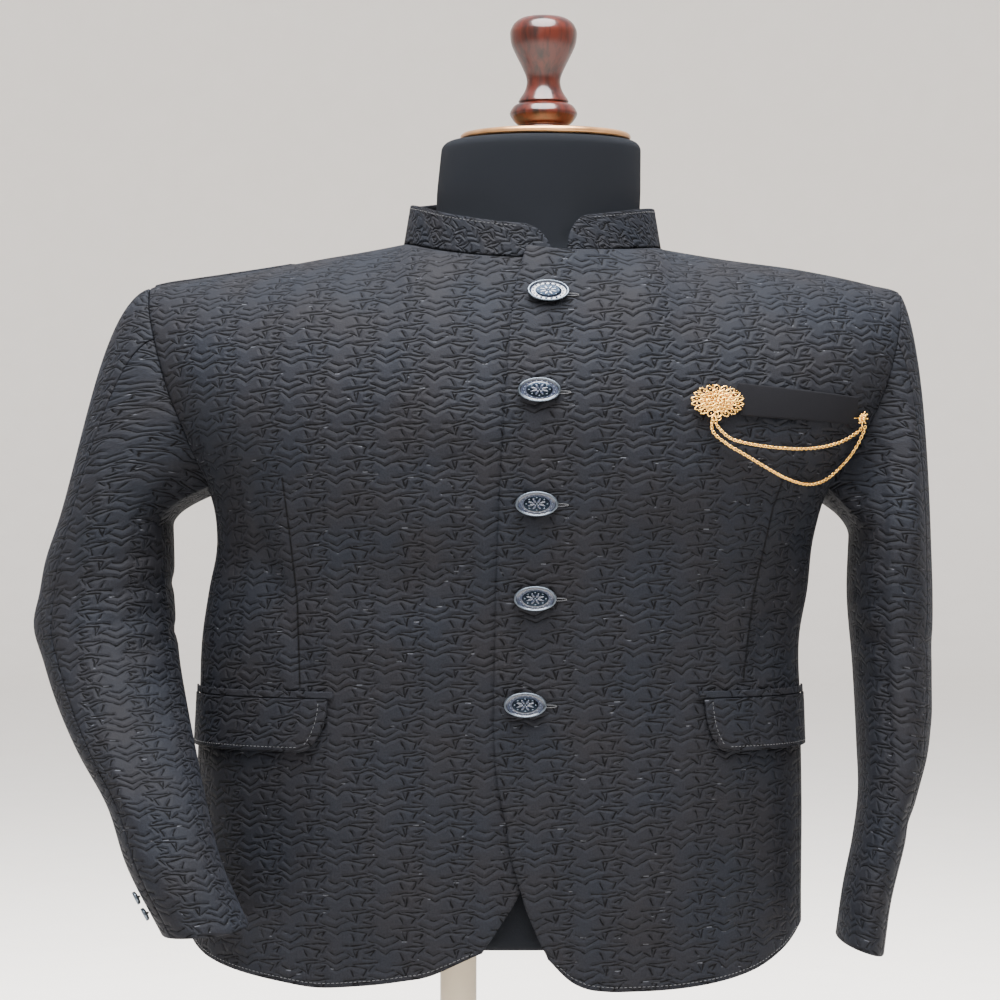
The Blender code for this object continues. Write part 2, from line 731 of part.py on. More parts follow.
def build_pockets():
    columns, rows = 10, 4
    for side in (LEFT, RIGHT):
        def flap(k, row):
            share, drop = k / columns, 1 - min(max(row / rows, 0), 1)
            corner = FLAP_CORNER * (1 - math.sqrt(1 - drop ** 2)) * (1 - share)
            return flap_point(side, share + corner, drop, LAY + FLAP_THICK + 0.6 * drop)

        def jet(k, row):
            start, end = FLAP_SPAN[side]
            angle = start + (end - start) * (-0.02 + 1.02 * k / columns)
            return body_point(side * angle, FLAP_TOP + JET_GAP + JET_HEIGHT * row, LAY + JET_THICK)

        wall("pocket_flap_" + side_name(side), columns, rows, flap, body_axis, cloth(), FLAP_THICK)
        wall("pocket_jet_" + side_name(side), columns, 1, jet, body_axis, cloth(), JET_THICK)


def build_welt():
    def place(k, row):
        x = WELT[0][0] + (WELT[1][0] - WELT[0][0]) * k / 7
        low, high = (line(WELT_COLUMNS, WELT, name, x) for name in ("low", "high"))
        return front_cloth(x, low + (high - low) * row / 2, LEFT, LAY + WELT_THICK)

    wall("breast_welt", 7, 2, place, body_axis, material("welt cloth", (0.008, 0.008, 0.010), 0.8), WELT_THICK)


def facing(point, normal, up=Vector((0, 0, 1))):
    """A frame at a point, its Z along the normal and its Y near upright."""
    z = normal.normalized()
    x = up.cross(z).normalized()
    y = z.cross(x)
    return Matrix.Translation(point) @ Matrix((x, y, z)).transposed().to_4x4()


def build_button(name, point, normal, wide, high, thick):
    """A domed disc on a round shank that stops just short of the cloth."""
    bm = bmesh.new()
    bmesh.ops.create_cone(bm, cap_ends=True, segments=16, radius1=0.5, radius2=0.5, depth=1)
    front = max(bm.faces, key=lambda face: face.calc_center_median().z)
    bmesh.ops.inset_region(bm, faces=[front], thickness=0.09)
    for vertex in front.verts:
        vertex.co.z += 0.18
    back = min(bm.faces, key=lambda face: face.calc_center_median().z)
    bmesh.ops.inset_region(bm, faces=[back], thickness=0.5 - SHANK_RADIUS / high)
    stem = min((face for face in bm.faces if face.normal.z < -0.9), key=lambda face: face.calc_area())
    for vertex in bm.verts:
        vertex.co = Vector((vertex.co.x * wide, vertex.co.y * high, (vertex.co.z + 0.5) * thick + BUTTON_STAND))
    shrink = high / wide
    for vertex in stem.verts:
        vertex.co.x *= shrink
        vertex.co.z = TOUCH
    bm.transform(facing(point, normal))
    add_object(name, bm, silver())


def build_buttons():
    for number, (x, z) in enumerate(BUTTONS, start=1):
        point = front_cloth(x, z, LEFT)
        build_button("front_button_%d" % number, point, cloth_normal(x, z, LEFT, FRONT), BUTTON_WIDE, BUTTON_HIGH,
                     BUTTON_THICK)
    for side in (LEFT, RIGHT):
        for number, height in enumerate(CUFF_BUTTON_HEIGHTS, start=1):
            cuff = SLEEVES[side][0][0] + height
            turn = CUFF_BUTTON_TURN[side]
            point = section_point(side, turn, cuff)
            ahead = section_point(side, turn + 0.1, cuff)
            behind = section_point(side, turn - 0.1, cuff)
            above = section_point(side, turn, cuff + 5) - section_point(side, turn, cuff - 5)
            normal = (ahead - behind).cross(above).normalized()
            centre = sleeve_section(side, cuff)
            if normal.dot(point - Vector((centre[0], centre[1], cuff))) < 0:
                normal = -normal
            build_button("cuff_button_%s_%d" % (side_name(side), number), point + normal * CUFF_BUTTON_CLEAR[side],
                         normal, CUFF_BUTTON_WIDE, CUFF_BUTTON_WIDE, CUFF_BUTTON_THICK)


def build_rosette(name, x, z, wide, high, petals, thick):
    """A scalloped disc with a raised middle, lying on the cloth."""
    around = petals * 2
    bm = bmesh.new()
    bmesh.ops.create_cone(bm, cap_ends=True, segments=around, radius1=0.5, radius2=0.5, depth=1)
    front = max(bm.faces, key=lambda face: face.calc_center_median().z)
    bmesh.ops.inset_region(bm, faces=[front], thickness=0.2)
    for vertex in front.verts:
        vertex.co.z += 0.6
    for vertex in bm.verts:
        turn = math.atan2(vertex.co.y, vertex.co.x)
        radius = math.hypot(vertex.co.x, vertex.co.y)
        scallop = 1 - 0.06 * (1 - math.cos(petals * turn)) if radius > 0.4 else 1
        vertex.co = Vector((vertex.co.x * wide * scallop, vertex.co.y * high * scallop,
                            (vertex.co.z + 0.5) * thick * 0.6 + BROOCH_LIFT))
    bm.transform(facing(front_cloth(x, z, LEFT, pin_height(x, z)), cloth_normal(x, z, LEFT, FRONT)))
    add_object(name, bm, gold())


def pin_height(x, z):
    """Height over the front of what a pin goes through: the welt where there is one."""
    on_welt = WELT[0][0] - 18 < x < WELT[1][0] + 18
    low = line(WELT_COLUMNS, WELT, "low", x) - 14
    high = line(WELT_COLUMNS, WELT, "high", x) + 14
    return LAY + WELT_THICK - 0.2 if on_welt and low < z < high else 0.0


def build_chain(name, route):
    """A loose chain as a thin round tube along its route, just in front of the cloth."""
    data = bpy.data.curves.new(name, "CURVE")
    data.dimensions = "3D"
    data.bevel_depth = CHAIN_RADIUS * MM
    data.bevel_resolution = 2
    data.use_fill_caps = True
    points = [front_cloth(x, z, LEFT, CHAIN_CLEAR) for x, z in route]
    spline = data.splines.new("POLY")
    spline.points.add(len(points) - 1)
    for target, point in zip(spline.points, points):
        target.co = (*(point * MM), 1)
    made = bpy.data.objects.new(name, data)
    bpy.data.collections[COLLECTION].objects.link(made)
    data.materials.append(gold())


def build_brooches():
    build_rosette("brooch_large", BROOCH_X, BROOCH_Z, BROOCH_WIDE, BROOCH_HIGH, BROOCH_PETALS, BROOCH_THICK)
    build_rosette("brooch_small", SMALL_X, SMALL_Z, SMALL_WIDE, SMALL_HIGH, SMALL_PETALS, BROOCH_THICK)
    for name, route in CHAINS.items():
        build_chain("brooch_chain_" + name, route)


def form_side(z, side):
    """Where the form ends sideways at a height: at the arm plates, under the shoulder seam, then at the neck."""
    centre, half = ring(min(z, ARMPIT_Z))[:2]
    body = centre + side * (half - FORM_CLEAR - WALL)
    if z <= ARMPIT_Z:
        return body
    outs = [row[0] for row in SHOULDER]
    ridge = [curve(SHOULDER_COLUMNS, SHOULDER, side_name(side), out) - WALL - RIDGE_CLEAR for out in outs]
    if z < ridge[0]:
        plate = body + (FORM_SIDE[side] - body) * smooth((z - ARMPIT_Z) / 90)
        under = NECK_X + side * float(np.interp(-z, [-height for height in ridge], outs))
        return side * min(side * plate, side * under)
    base, neck = NECK_X + side * FORM_NECK_HALF, NECK[1]
    return base + (neck[1] + side * neck[2] - base) * min((z - ridge[0]) / (neck[0] - ridge[0]), 1.0)


def form_middle(z, face):
    """Depth of the form in front of or behind the neck."""
    limit = NECK[0][0] if face == FRONT else NECK[1][0]
    if z < limit:
        return cloth_y(NECK_X, z, RIGHT, face) - face * (FORM_CLEAR + WALL)
    return NECK_Y + face * curve(NECK_COLUMNS, NECK, "front" if face == FRONT else "back", z)


def form_depth(x, z, face):
    """Depth of the form at x over the armholes: the cloth's depth less the clearance, closed in to the neck."""
    side = LEFT if x >= NECK_X else RIGHT
    edge = NECK_X + side * (NECK_HALF + 0.01)
    ridge = top_line(edge, side, face)[1] - WALL - RIDGE_CLEAR
    limit, y_out = abs(form_side(z, side) - NECK_X), NECK_Y
    if z < ridge:
        at = x if abs(x - NECK_X) > NECK_HALF else edge
        keep = 1 - (FORM_CLEAR + WALL) / abs(full_depth(at, z, face) - NECK_Y)
        y_out += (cloth_y(at, z + WALL + RIDGE_CLEAR, side, face) - NECK_Y) * keep
        limit = FORM_NECK_HALF
    out = abs(x - NECK_X)
    if out >= limit:
        return y_out
    return y_out + (form_middle(z, face) - y_out) * math.sqrt(1 - (out / limit) ** 2)


def form_point(angle, z):
    """A point of the form's surface, by angle from the front and height."""
    sine, cosine = math.sin(math.radians(angle)), math.cos(math.radians(angle))
    face = FRONT if cosine > 0 else BACK
    if z <= ARMPIT_Z:
        return body_point(angle, z, -FORM_CLEAR - WALL)
    if z >= NECK[1][0]:
        centre = curve(NECK_COLUMNS, NECK, "centre", z)
        x = centre + curve(NECK_COLUMNS, NECK, "half", z) * sine
        return Vector((x, NECK_Y + face * curve(NECK_COLUMNS, NECK, "front" if face == FRONT else "back", z)
                       * abs(cosine), z))
    left, right = form_side(z, LEFT), form_side(z, RIGHT)
    x = (left + right) / 2 + (left - right) / 2 * sine
    y = NECK_Y + (form_depth(x, z, face) - NECK_Y) * smooth(abs(cosine) / 0.19)
    return Vector((x, y, z))


def build_form():
    """The padded torso and neck, one smooth closed body."""
    levels = [FORM_BOTTOM, FORM_BOTTOM + 3] + list(FORM_LEVELS) + [NECK_TOP - 3, NECK_TOP]
    insets = {0: 5.0, len(levels) - 2: 1.0, len(levels) - 1: 7.0}

    def place(k, row):
        point = form_point(-180 + 360 * k / FORM_ROUND, levels[row])
        if row in insets:
            axis = Vector((NECK[-1][1] if row else ring(FORM_BOTTOM)[0], NECK_Y, point.z))
            point = point + (axis - point).normalized() * insets[row]
        return point

    bm, _ = grid(FORM_ROUND, len(levels) - 1, place)
    bmesh.ops.remove_doubles(bm, verts=bm.verts[:], dist=0.01)
    bmesh.ops.holes_fill(bm, edges=[edge for edge in bm.edges if edge.is_boundary], sides=0)
    bmesh.ops.recalc_face_normals(bm, faces=bm.faces[:])
    add_object("form_body", bm, material("form cover", (0.012, 0.013, 0.018), 0.9))


def build_turned(name, profile, x, z, finish, segments=32):
    """A turned piece: its outer profile, top to bottom, spun round an upright axis."""
    mesh = bpy.data.meshes.new(name)
    bm = bmesh.new()
    last = None
    for radius, height in profile:
        vertex = bm.verts.new((radius * MM, 0, height * MM))
        if last:
            bm.edges.new((last, vertex))
        last = vertex
    bm.to_mesh(mesh)
    bm.free()
    mesh.materials.append(finish)
    made = bpy.data.objects.new(name, mesh)
    made.location = (x * MM, 0, z * MM)
    bpy.data.collections[COLLECTION].objects.link(made)
    screw = made.modifiers.new("Turned", "SCREW")
    screw.steps = segments
    screw.render_steps = segments
    screw.use_merge_vertices = True
    screw.merge_threshold = 0.00001
    screw.use_smooth_shade = True
    return made


def build_stand():
    build_turned("neck_disc", [(0, DISC_THICK), (DISC_RADIUS - 2.5, DISC_THICK), (DISC_RADIUS, DISC_THICK - 2),
                               (DISC_RADIUS, 1.6), (DISC_RADIUS - 1.6, 0), (0, 0)],
                 DISC_X, NECK_TOP + TOUCH, material("brass disc", (0.55, 0.38, 0.20), 0.35, 0.6))
    build_turned("finial", FINIAL, FINIAL_X, NECK_TOP + DISC_THICK + 2 * TOUCH,
                 material("turned wood", (0.12, 0.025, 0.010), 0.18), 22)
    pale = material("cream paint", (0.62, 0.55, 0.44), 0.45)
    build_turned("stand_base", [(0, BASE_THICK), (BASE_RADIUS - 8, BASE_THICK), (BASE_RADIUS - 2, BASE_THICK - 4),
                                (BASE_RADIUS, BASE_THICK - 9), (BASE_RADIUS, 0), (0, 0)], 0, 0, pale)
    pole_top = FORM_BOTTOM - TOUCH
    build_turned("stand_pole", [(0, pole_top), (POLE_RADIUS, pole_top), (POLE_RADIUS, BASE_THICK + TOUCH),
                                (0, BASE_THICK + TOUCH)], 0, 0, pale, 24)


def main():
    clear_scene()
    bpy.context.scene.collection.children.link(bpy.data.collections.new(COLLECTION))
    build_panels()
    build_sleeves()
    build_collar()
    build_pockets()
    build_welt()
    build_buttons()
    build_brooches()
    build_form()
    build_stand()


main()
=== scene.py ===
"""The looks of a bandhgala jacket on a limbless dress form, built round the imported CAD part.

Tables and the surface functions under them are in millimetres, as a tailor measures, and become
metres when a mesh is made. +Z is up, the jacket faces -Y, and +X is the wearer's left.
"""

import bisect
import functools
import math

import bmesh
import bpy
import numpy as np
from bpy.props import FloatProperty, IntProperty, PointerProperty, StringProperty
from mathutils import Matrix, Vector


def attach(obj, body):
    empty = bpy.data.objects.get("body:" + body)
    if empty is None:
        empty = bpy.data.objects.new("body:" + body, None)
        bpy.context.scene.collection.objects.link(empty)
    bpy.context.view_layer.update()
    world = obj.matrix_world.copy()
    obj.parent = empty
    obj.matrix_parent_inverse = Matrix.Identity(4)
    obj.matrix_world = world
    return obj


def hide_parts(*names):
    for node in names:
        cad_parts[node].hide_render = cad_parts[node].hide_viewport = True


bl_info = {
    "name": "Bandhgala jacket",
    "version": (1, 0, 0),
    "blender": (4, 5, 0),
    "location": "3D View > Sidebar > Jacket",
    "description": "Builds a jacquard bandhgala jacket on its dress form, piece by piece",
    "category": "Add Mesh",
}

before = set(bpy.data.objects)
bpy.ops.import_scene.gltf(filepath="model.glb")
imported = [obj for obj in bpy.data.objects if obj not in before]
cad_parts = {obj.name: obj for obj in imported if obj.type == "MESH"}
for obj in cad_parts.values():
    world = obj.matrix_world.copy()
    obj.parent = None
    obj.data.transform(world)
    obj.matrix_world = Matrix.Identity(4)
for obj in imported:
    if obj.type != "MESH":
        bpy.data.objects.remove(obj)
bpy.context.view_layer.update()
MM = 0.001

# cloth
WALL = 2.2
SEAM = 0.6
LAY = 0.7
LAP_RISE = 3.0
LAP_FADE = 45.0
LEFT, RIGHT = 1, -1
FRONT, BACK = -1, 1

# levels and seams
ARMPIT_Z = 500.0
UNDERARM_SCOOP = 7.0
SIDE_FRONT_ANGLE = 72.0
SIDE_BACK_ANGLE = 118.0
SHOULDER_FALL = 130.0

# mesh columns and rows of the panels
NECK_STEPS = {FRONT: 6, BACK: 6}
SHOULDER_STEPS = {FRONT: 6, BACK: 5}
SIDE_STEPS = 4
LOW_ROWS, HIGH_ROWS = 15, 10
LOW_CROWD, HIGH_CROWD = 1.2, 1.9

# neck
NECK_X, NECK_Y = 57.0, 6.0
NECK_HALF, NECK_FRONT, NECK_BACK = 99.0, 94.0, 72.0
SHOULDER_X = {LEFT: 339.0, RIGHT: -237.0}

# body outline: rings from under the hem to over the shoulders
BODY_COLUMNS = ("z", "centre", "half", "front", "back", "square")
BODY = (
    (120, 28.0, 235.0, 144, 132, 2.5),
    (190, 29.5, 233.0, 142, 128, 2.5),
    (250, 31.0, 232.0, 140, 121, 2.5),
    (330, 32.0, 230.0, 138, 114, 2.5),
    (390, 33.0, 228.5, 137, 113, 2.5),
    (420, 38.0, 229.0, 138, 117, 2.5),
    (460, 43.6, 228.0, 141, 126, 2.6),
    (500, 46.0, 238.0, 143, 134, 2.7),
    (545, 47.0, 275.0, 143, 142, 2.3),
    (595, 50.0, 300.0, 139, 146, 2.2),
    (640, 51.0, 312.0, 135, 140, 2.2),
    (700, 51.0, 312.0, 130, 130, 2.2),
)

# shoulder seam heights from the neck out, by distance from the neck's centre
SHOULDER_COLUMNS = ("out", "left", "right")
SHOULDER = (
    (99, 682.5, 686.0),
    (150, 674.5, 677.0),
    (205, 667.0, 667.5),
    (262, 655.0, 659.0),
    (282, 649.5, 656.0),
    (294, 640.0, 653.0),
)

# neckline heights by x
NECKLINE_COLUMNS = ("x", "left", "right", "back")
NECKLINE = (
    (-42, 686.0, 686.0, 686.0),
    (-20, 684.0, 679.0, 690.0),
    (10, 681.0, 673.5, 692.0),
    (45, 679.0, 670.5, 693.0),
    (82, 675.7, 670.5, 692.5),
    (120, 677.5, 672.0, 690.0),
    (156, 682.5, 676.0, 682.5),
)

# armhole seam in front view, from the underarm up
ARMHOLE_COLUMNS = ("rise", "left", "right")
ARMHOLE = (
    (0.00, 281.5, -187.5),
    (0.16, 299.0, -198.0),
    (0.30, 311.0, -206.5),
    (0.45, 321.5, -216.5),
    (0.60, 328.5, -224.0),
    (0.74, 333.5, -230.0),
    (0.88, 337.5, -235.0),
    (1.00, 339.0, -237.0),
)

# front edges by height: the upper lap and the lower lap that it covers
EDGE_COLUMNS = ("z", "left", "right")
EDGE = (
    (130, 66.0, 17.5),
    (158, 66.0, 17.5),
    (166, 61.8, 23.0),
    (179, 56.0, 31.5),
    (196, 49.5, 42.5),
    (212, 45.0, 50.0),
    (232, 39.3, 57.5),
    (253, 36.4, 63.0),
    (281, 30.5, 67.0),
    (301, 28.4, 68.0),
    (345, 27.6, 68.0),
    (388, 28.4, 68.0),
    (446, 29.8, 69.0),
    (526, 33.5, 72.0),
    (563, 35.6, 75.0),
    (615, 39.3, 79.0),
    (645, 43.0, 82.0),
    (680, 52.0, 85.0),
)
EDGE_TOP = 676.0

# hem heights round the body, by angle from the front
HEM_COLUMNS = ("angle", "left", "right")
HEM = (
    (-10, 158.0, 158.0),
    (3, 158.0, 160.6),
    (6, 158.0, 154.0),
    (9, 157.8, 148.0),
    (11, 148.3, 144.5),
    (13, 141.0, 142.0),
    (16, 134.6, 140.0),
    (20, 131.8, 137.5),
    (25, 131.5, 135.3),
    (32, 132.2, 133.5),
    (40, 135.2, 137.0),
    (50, 142.5, 142.3),
    (60, 154.0, 148.5),
    (72, 167.0, 157.0),
    (90, 169.0, 163.0),
    (118, 165.0, 160.0),
    (150, 157.0, 156.0),
    (180, 152.0, 152.0),
)

# sleeve sections from the cuff up to the underarm
SLEEVE_COLUMNS = ("z", "centre_x", "centre_y", "half_x", "half_y", "tilt")
SLEEVES = {
    RIGHT: (
        (178, -181.5, -146.0, 31.0, 46.0, -0.10),
        (226, -206.0, -134.0, 34.0, 47.0, -0.04),
        (267, -220.5, -113.0, 36.5, 49.0, 0.00),
        (303, -238.0, -84.0, 43.5, 52.0, 0.00),
        (338, -253.0, -52.0, 48.5, 56.0, 0.00),
        (366, -262.5, -30.0, 51.0, 60.0, 0.00),
        (390, -268.5, -14.0, 53.0, 64.0, 0.00),
        (415, -269.5, -3.0, 51.0, 67.0, 0.00),
        (442, -268.0, 2.0, 49.0, 69.0, 0.00),
        (470, -264.0, 4.0, 44.0, 70.0, 0.00),
    ),
    LEFT: (
        (155, 303.0, -50.0, 17.0, 55.0, -0.32),
        (195, 309.0, -48.0, 17.0, 56.0, -0.25),
        (230, 317.5, -43.0, 18.0, 58.0, -0.15),
        (265, 325.0, -36.0, 20.5, 61.0, -0.06),
        (305, 331.0, -24.0, 26.5, 65.0, 0.00),
        (362, 332.0, -10.0, 29.0, 70.0, 0.00),
        (420, 331.0, -2.0, 31.5, 75.0, 0.00),
        (462, 331.5, 2.0, 30.0, 78.0, 0.00),
    ),
}
SLEEVE_SQUARE = 2.25
SLEEVE_COLUMNS_ROUND = 24
SLEEVE_HEAD_ROWS, SLEEVE_BODY_ROWS = 5, 13
SLEEVE_FRONT_SEAM, SLEEVE_BACK_SEAM = 7, 18
SLEEVE_GAP = 0.8
SLEEVE_TRIM = 0.025
HEAD_PUSH = {LEFT: 12.0, RIGHT: 12.0}
HEAD_DROP = {LEFT: 2.0, RIGHT: 0.45}

# collar
COLLAR_WALL = 2.6
COLLAR_BASE_GAP = 0.8
COLLAR_START, COLLAR_END = -8.2, 345.0
COLLAR_LEAN = 5.0
COLLAR_END_ROUND = {"start": 13.0, "end": 11.0}
COLLAR_HEIGHT_COLUMNS = ("angle", "height")
COLLAR_HEIGHT = (
    (-10, 24.0),
    (30, 27.0),
    (90, 30.0),
    (180, 31.0),
    (270, 30.5),
    (320, 28.0),
    (346, 25.5),
)

# pockets, as angles round the body and heights
FLAP_TOP, FLAP_BOTTOM = 344.0, 305.0
FLAP_SPAN = {LEFT: (37.4, 86.0), RIGHT: (31.0, 84.0)}
FLAP_CORNER = 0.10
FLAP_THICK = 2.2
JET_HEIGHT, JET_GAP, JET_THICK = 5.0, 0.6, 1.6
WELT_COLUMNS = ("x", "low", "high")
WELT = ((206, 551.5, 575.5), (298, 546.5, 567.0))
WELT_THICK = 2.0

# metal, with buttons and chains given by x and z on the front
BUTTONS = ((66.9, 640.6), (60.4, 568.6), (58.6, 487.5), (57.5, 418.7), (50.2, 340.8))
BUTTON_WIDE, BUTTON_HIGH, BUTTON_THICK, BUTTON_STAND = 31.3, 18.2, 3.4, 1.6
SHANK_RADIUS = 3.0
CUFF_BUTTON_WIDE, CUFF_BUTTON_THICK = 10.0, 3.0
CUFF_BUTTON_HEIGHTS = (17.0, 28.0)
CUFF_BUTTON_CLEAR = {LEFT: 0.6, RIGHT: 0.1}
CUFF_BUTTON_TURN = {LEFT: math.radians(205), RIGHT: math.radians(160)}
BROOCH_X, BROOCH_Z, BROOCH_WIDE, BROOCH_HIGH = 190.0, 561.7, 41.0, 24.5
BROOCH_PETALS, BROOCH_THICK, BROOCH_LIFT = 18, 3.0, 0.5
SMALL_X, SMALL_Z, SMALL_WIDE, SMALL_HIGH, SMALL_PETALS = 300.5, 552.0, 11.5, 10.5, 8
CHAIN_CLEAR = 5.0
CHAINS = {
    "upper": ((188.4, 549.9), (189, 544.5), (198, 535.5), (211, 531.5), (230, 529), (250, 528.4), (268, 530.5),
              (284, 535.5), (296.5, 543), (299.2, 547)),
    "lower": ((185.7, 549.9), (186, 540), (196, 531), (209, 523.5), (224, 515), (240, 507), (256, 503.2),
              (270, 506.5), (282, 516), (292, 527), (299.5, 540), (301.8, 547)),
}

# dress form, inside the cloth
FORM_CLEAR = 9.0
RIDGE_CLEAR = 0.85
FORM_BOTTOM = 160.0
FORM_ROUND = 30
FORM_NECK_HALF = 84.0
FORM_SIDE = {LEFT: 308.0, RIGHT: -206.0}
NECK_TOP = 765.5
NECK_COLUMNS = ("z", "centre", "half", "front", "back")
NECK = (
    (670, 58.0, 99.0, 83.0, 61.5),
    (693, 60.3, 82.5, 79.0, 61.0),
    (702, 60.8, 79.8, 78.0, 60.5),
    (730, 62.0, 78.3, 77.0, 60.0),
    (766, 64.0, 76.5, 76.0, 59.0),
)
FORM_LEVELS = (
    190, 230, 275, 320, 360, 395, 430, 465, 500, 530, 560, 585, 608, 628, 642, 651,
    658, 664, 669, 674, 678, 682, 686, 693, 702, 730, 750,
)
DISC_X, DISC_RADIUS, DISC_THICK = 67.0, 65.5, 5.6
TOUCH = 0.3

# finial, by radius and height
FINIAL_X = 65.5
FINIAL = (
    (0.0, 90.4), (9.0, 90.2), (16.5, 88.8), (22.0, 85.3), (25.0, 80.5), (25.8, 76.0), (24.6, 68.0),
    (20.8, 59.5), (16.8, 51.5), (13.6, 44.0), (13.0, 38.5), (14.6, 32.5), (18.2, 26.8), (19.4, 24.4),
    (18.6, 23.4), (22.4, 21.4), (25.2, 17.6), (25.9, 14.4), (23.0, 9.4), (19.6, 6.2), (20.4, 4.6),
    (20.4, 0.0), (0.0, 0.0),
)
POLE_RADIUS, BASE_RADIUS, BASE_THICK = 14.0, 150.0, 18.0


@functools.lru_cache(maxsize=None)
def column_fit(columns, rows, name):
    """A table's first column, one named column and that column's slopes."""
    along = [float(row[0]) for row in rows]
    values = [float(row[columns.index(name)]) for row in rows]
    return along, values, np.gradient(values, along).tolist()


def curve(columns, rows, name, at):
    """Smooth value of one named column, read along the table's first column."""
    along, values, slopes = column_fit(columns, rows, name)
    at = min(max(at, along[0]), along[-1])
    i = min(bisect.bisect_right(along, at) - 1, len(along) - 2)
    step = along[i + 1] - along[i]
    t = (at - along[i]) / step
    return ((2 * t ** 3 - 3 * t ** 2 + 1) * values[i] + (t ** 3 - 2 * t ** 2 + t) * step * slopes[i]
            + (3 * t ** 2 - 2 * t ** 3) * values[i + 1] + (t ** 3 - t ** 2) * step * slopes[i + 1])


def line(columns, rows, name, at):
    """Straight-line value of one named column."""
    along, values, _ = column_fit(columns, rows, name)
    return float(np.interp(at, along, values))


def smooth(t):
    """Ease from 0 to 1."""
    t = min(max(t, 0.0), 1.0)
    return t * t * (3 - 2 * t)


def side_name(side):
    return "left" if side == LEFT else "right"


def ring(z):
    """The body's ring at a height: centre, half width, depths and squareness."""
    return [curve(BODY_COLUMNS, BODY, name, z) for name in BODY_COLUMNS[1:]]


def body_point(angle, z, out=0.0):
    """A point of the outer cloth under the armholes, by signed angle from the front."""
    centre, half, front, back, square = ring(z)
    sine, cosine = math.sin(math.radians(angle)), math.cos(math.radians(angle))
    reach = (abs(sine) ** square + abs(cosine) ** square) ** (-1 / square)
    depth = front if cosine > 0 else back
    return Vector((centre + (half + out) * reach * sine, -(depth + out) * reach * cosine, z))


def body_angle(x, z):
    """Signed angle of the front cloth at x."""
    centre, half, _, _, square = ring(z)
    across = (x - centre) / half
    along = (1 - min(abs(across), 1.0) ** square) ** (1 / square)
    return math.degrees(math.atan2(across, along))


def full_depth(x, z, face):
    """Depth of the plain ring at x, before the shoulders fall away."""
    centre, half, front, back, square = ring(z)
    across = min(abs(x - centre) / half, 1.0)
    return face * (front if face == FRONT else back) * (1 - across ** square) ** (1 / square)


def top_line(x, side, face):
    """Depth, height and roundness of the neckline or shoulder seam above x."""
    out = abs(x - NECK_X)
    if out >= NECK_HALF:
        return NECK_Y, curve(SHOULDER_COLUMNS, SHOULDER, side_name(side), out), 0.5
    depth = NECK_FRONT if face == FRONT else NECK_BACK
    y = NECK_Y + face * depth * math.sqrt(1 - (out / NECK_HALF) ** 2)
    column = "back" if face == BACK else side_name(side)
    bend = 0.5 + 0.5 * (1 - smooth((out - 30) / (NECK_HALF - 30)))
    return y, curve(NECKLINE_COLUMNS, NECKLINE, column, x), bend


def cloth_y(x, z, side, face):
    """Depth of the outer cloth at x and z, front or back."""
    y_top, z_top, bend = top_line(x, side, face)
    fall = min(max((z_top - z) / SHOULDER_FALL, 0.0), 1.0)
    return y_top + (full_depth(x, z, face) - y_top) * (1 - (1 - fall) ** 2) ** bend


def cloth_normal(x, z, side, face):
    """Outward direction of the cloth at x and z."""
    step = 3.0
    across = cloth_y(x + step, z, side, face) - cloth_y(x - step, z, side, face)
    up = cloth_y(x, z + step, side, face) - cloth_y(x, z - step, side, face)
    normal = Vector((2 * step, across, 0)).cross(Vector((0, up, 2 * step)))
    normal.normalize()
    return normal if normal.y * face > 0 else -normal


def lap_rise(x, z):
    """How far the upper lap stands off the lower one."""
    under = curve(EDGE_COLUMNS, EDGE, "right", z)
    return LAP_RISE * (1 - smooth((x - under - 4) / LAP_FADE)) * max(smooth((z - 172) / 22), 0.1)


def front_cloth(x, z, side, out=0.0):
    """A point of a front at x and z, with the upper lap's rise and a distance out."""
    y = cloth_y(x, z, side, FRONT)
    if side == LEFT:
        out += lap_rise(x, z)
    point = Vector((x, y, z))
    if out:
        point += cloth_normal(x, z, side, FRONT) * out
    return point


def armhole_x(rise, side):
    return curve(ARMHOLE_COLUMNS, ARMHOLE, side_name(side), rise)


def panel_columns(face):
    return NECK_STEPS[face] + SHOULDER_STEPS[face]


def top_x(k, start, side, face):
    """Where column k meets the neckline or the shoulder seam."""
    if k <= NECK_STEPS[face]:
        first = math.asin((start - NECK_X) / NECK_HALF * side)
        turn = first + (math.pi / 2 - first) * k / NECK_STEPS[face]
        return NECK_X + side * NECK_HALF * math.sin(turn)
    side_neck = NECK_X + side * NECK_HALF
    share = (k - NECK_STEPS[face]) / SHOULDER_STEPS[face]
    return side_neck + (SHOULDER_X[side] - side_neck) * (1.35 * share - 0.35 * share ** 2)


def seam_angle(face, side):
    """Signed angle of a front's or a back's edge along the panel under the arm."""
    trim = math.degrees(SEAM / 2 / ring(300)[1])
    return side * (SIDE_FRONT_ANGLE - trim if face == FRONT else SIDE_BACK_ANGLE + trim)


def inner_angle(z, side, face):
    """Signed angle of the front edge, or of the centre-back seam."""
    if face == FRONT:
        return body_angle(curve(EDGE_COLUMNS, EDGE, side_name(side), z), z)
    return side * (180 - math.degrees(SEAM / 2 / ring(z)[3]))


def low_point(share, row, side, face):
    """A point of a front or a back under the armholes."""
    seam = seam_angle(face, side)
    guess = inner_angle(150, side, face)
    hem = curve(HEM_COLUMNS, HEM, side_name(side), side * (guess + (seam - guess) * share))
    z = hem + (ARMPIT_Z - hem) * (row / LOW_ROWS) ** LOW_CROWD
    start = inner_angle(z, side, face)
    point = body_point(start + (seam - start) * share, z)
    return front_cloth(point.x, z, side) if face == FRONT and share < 1 else point


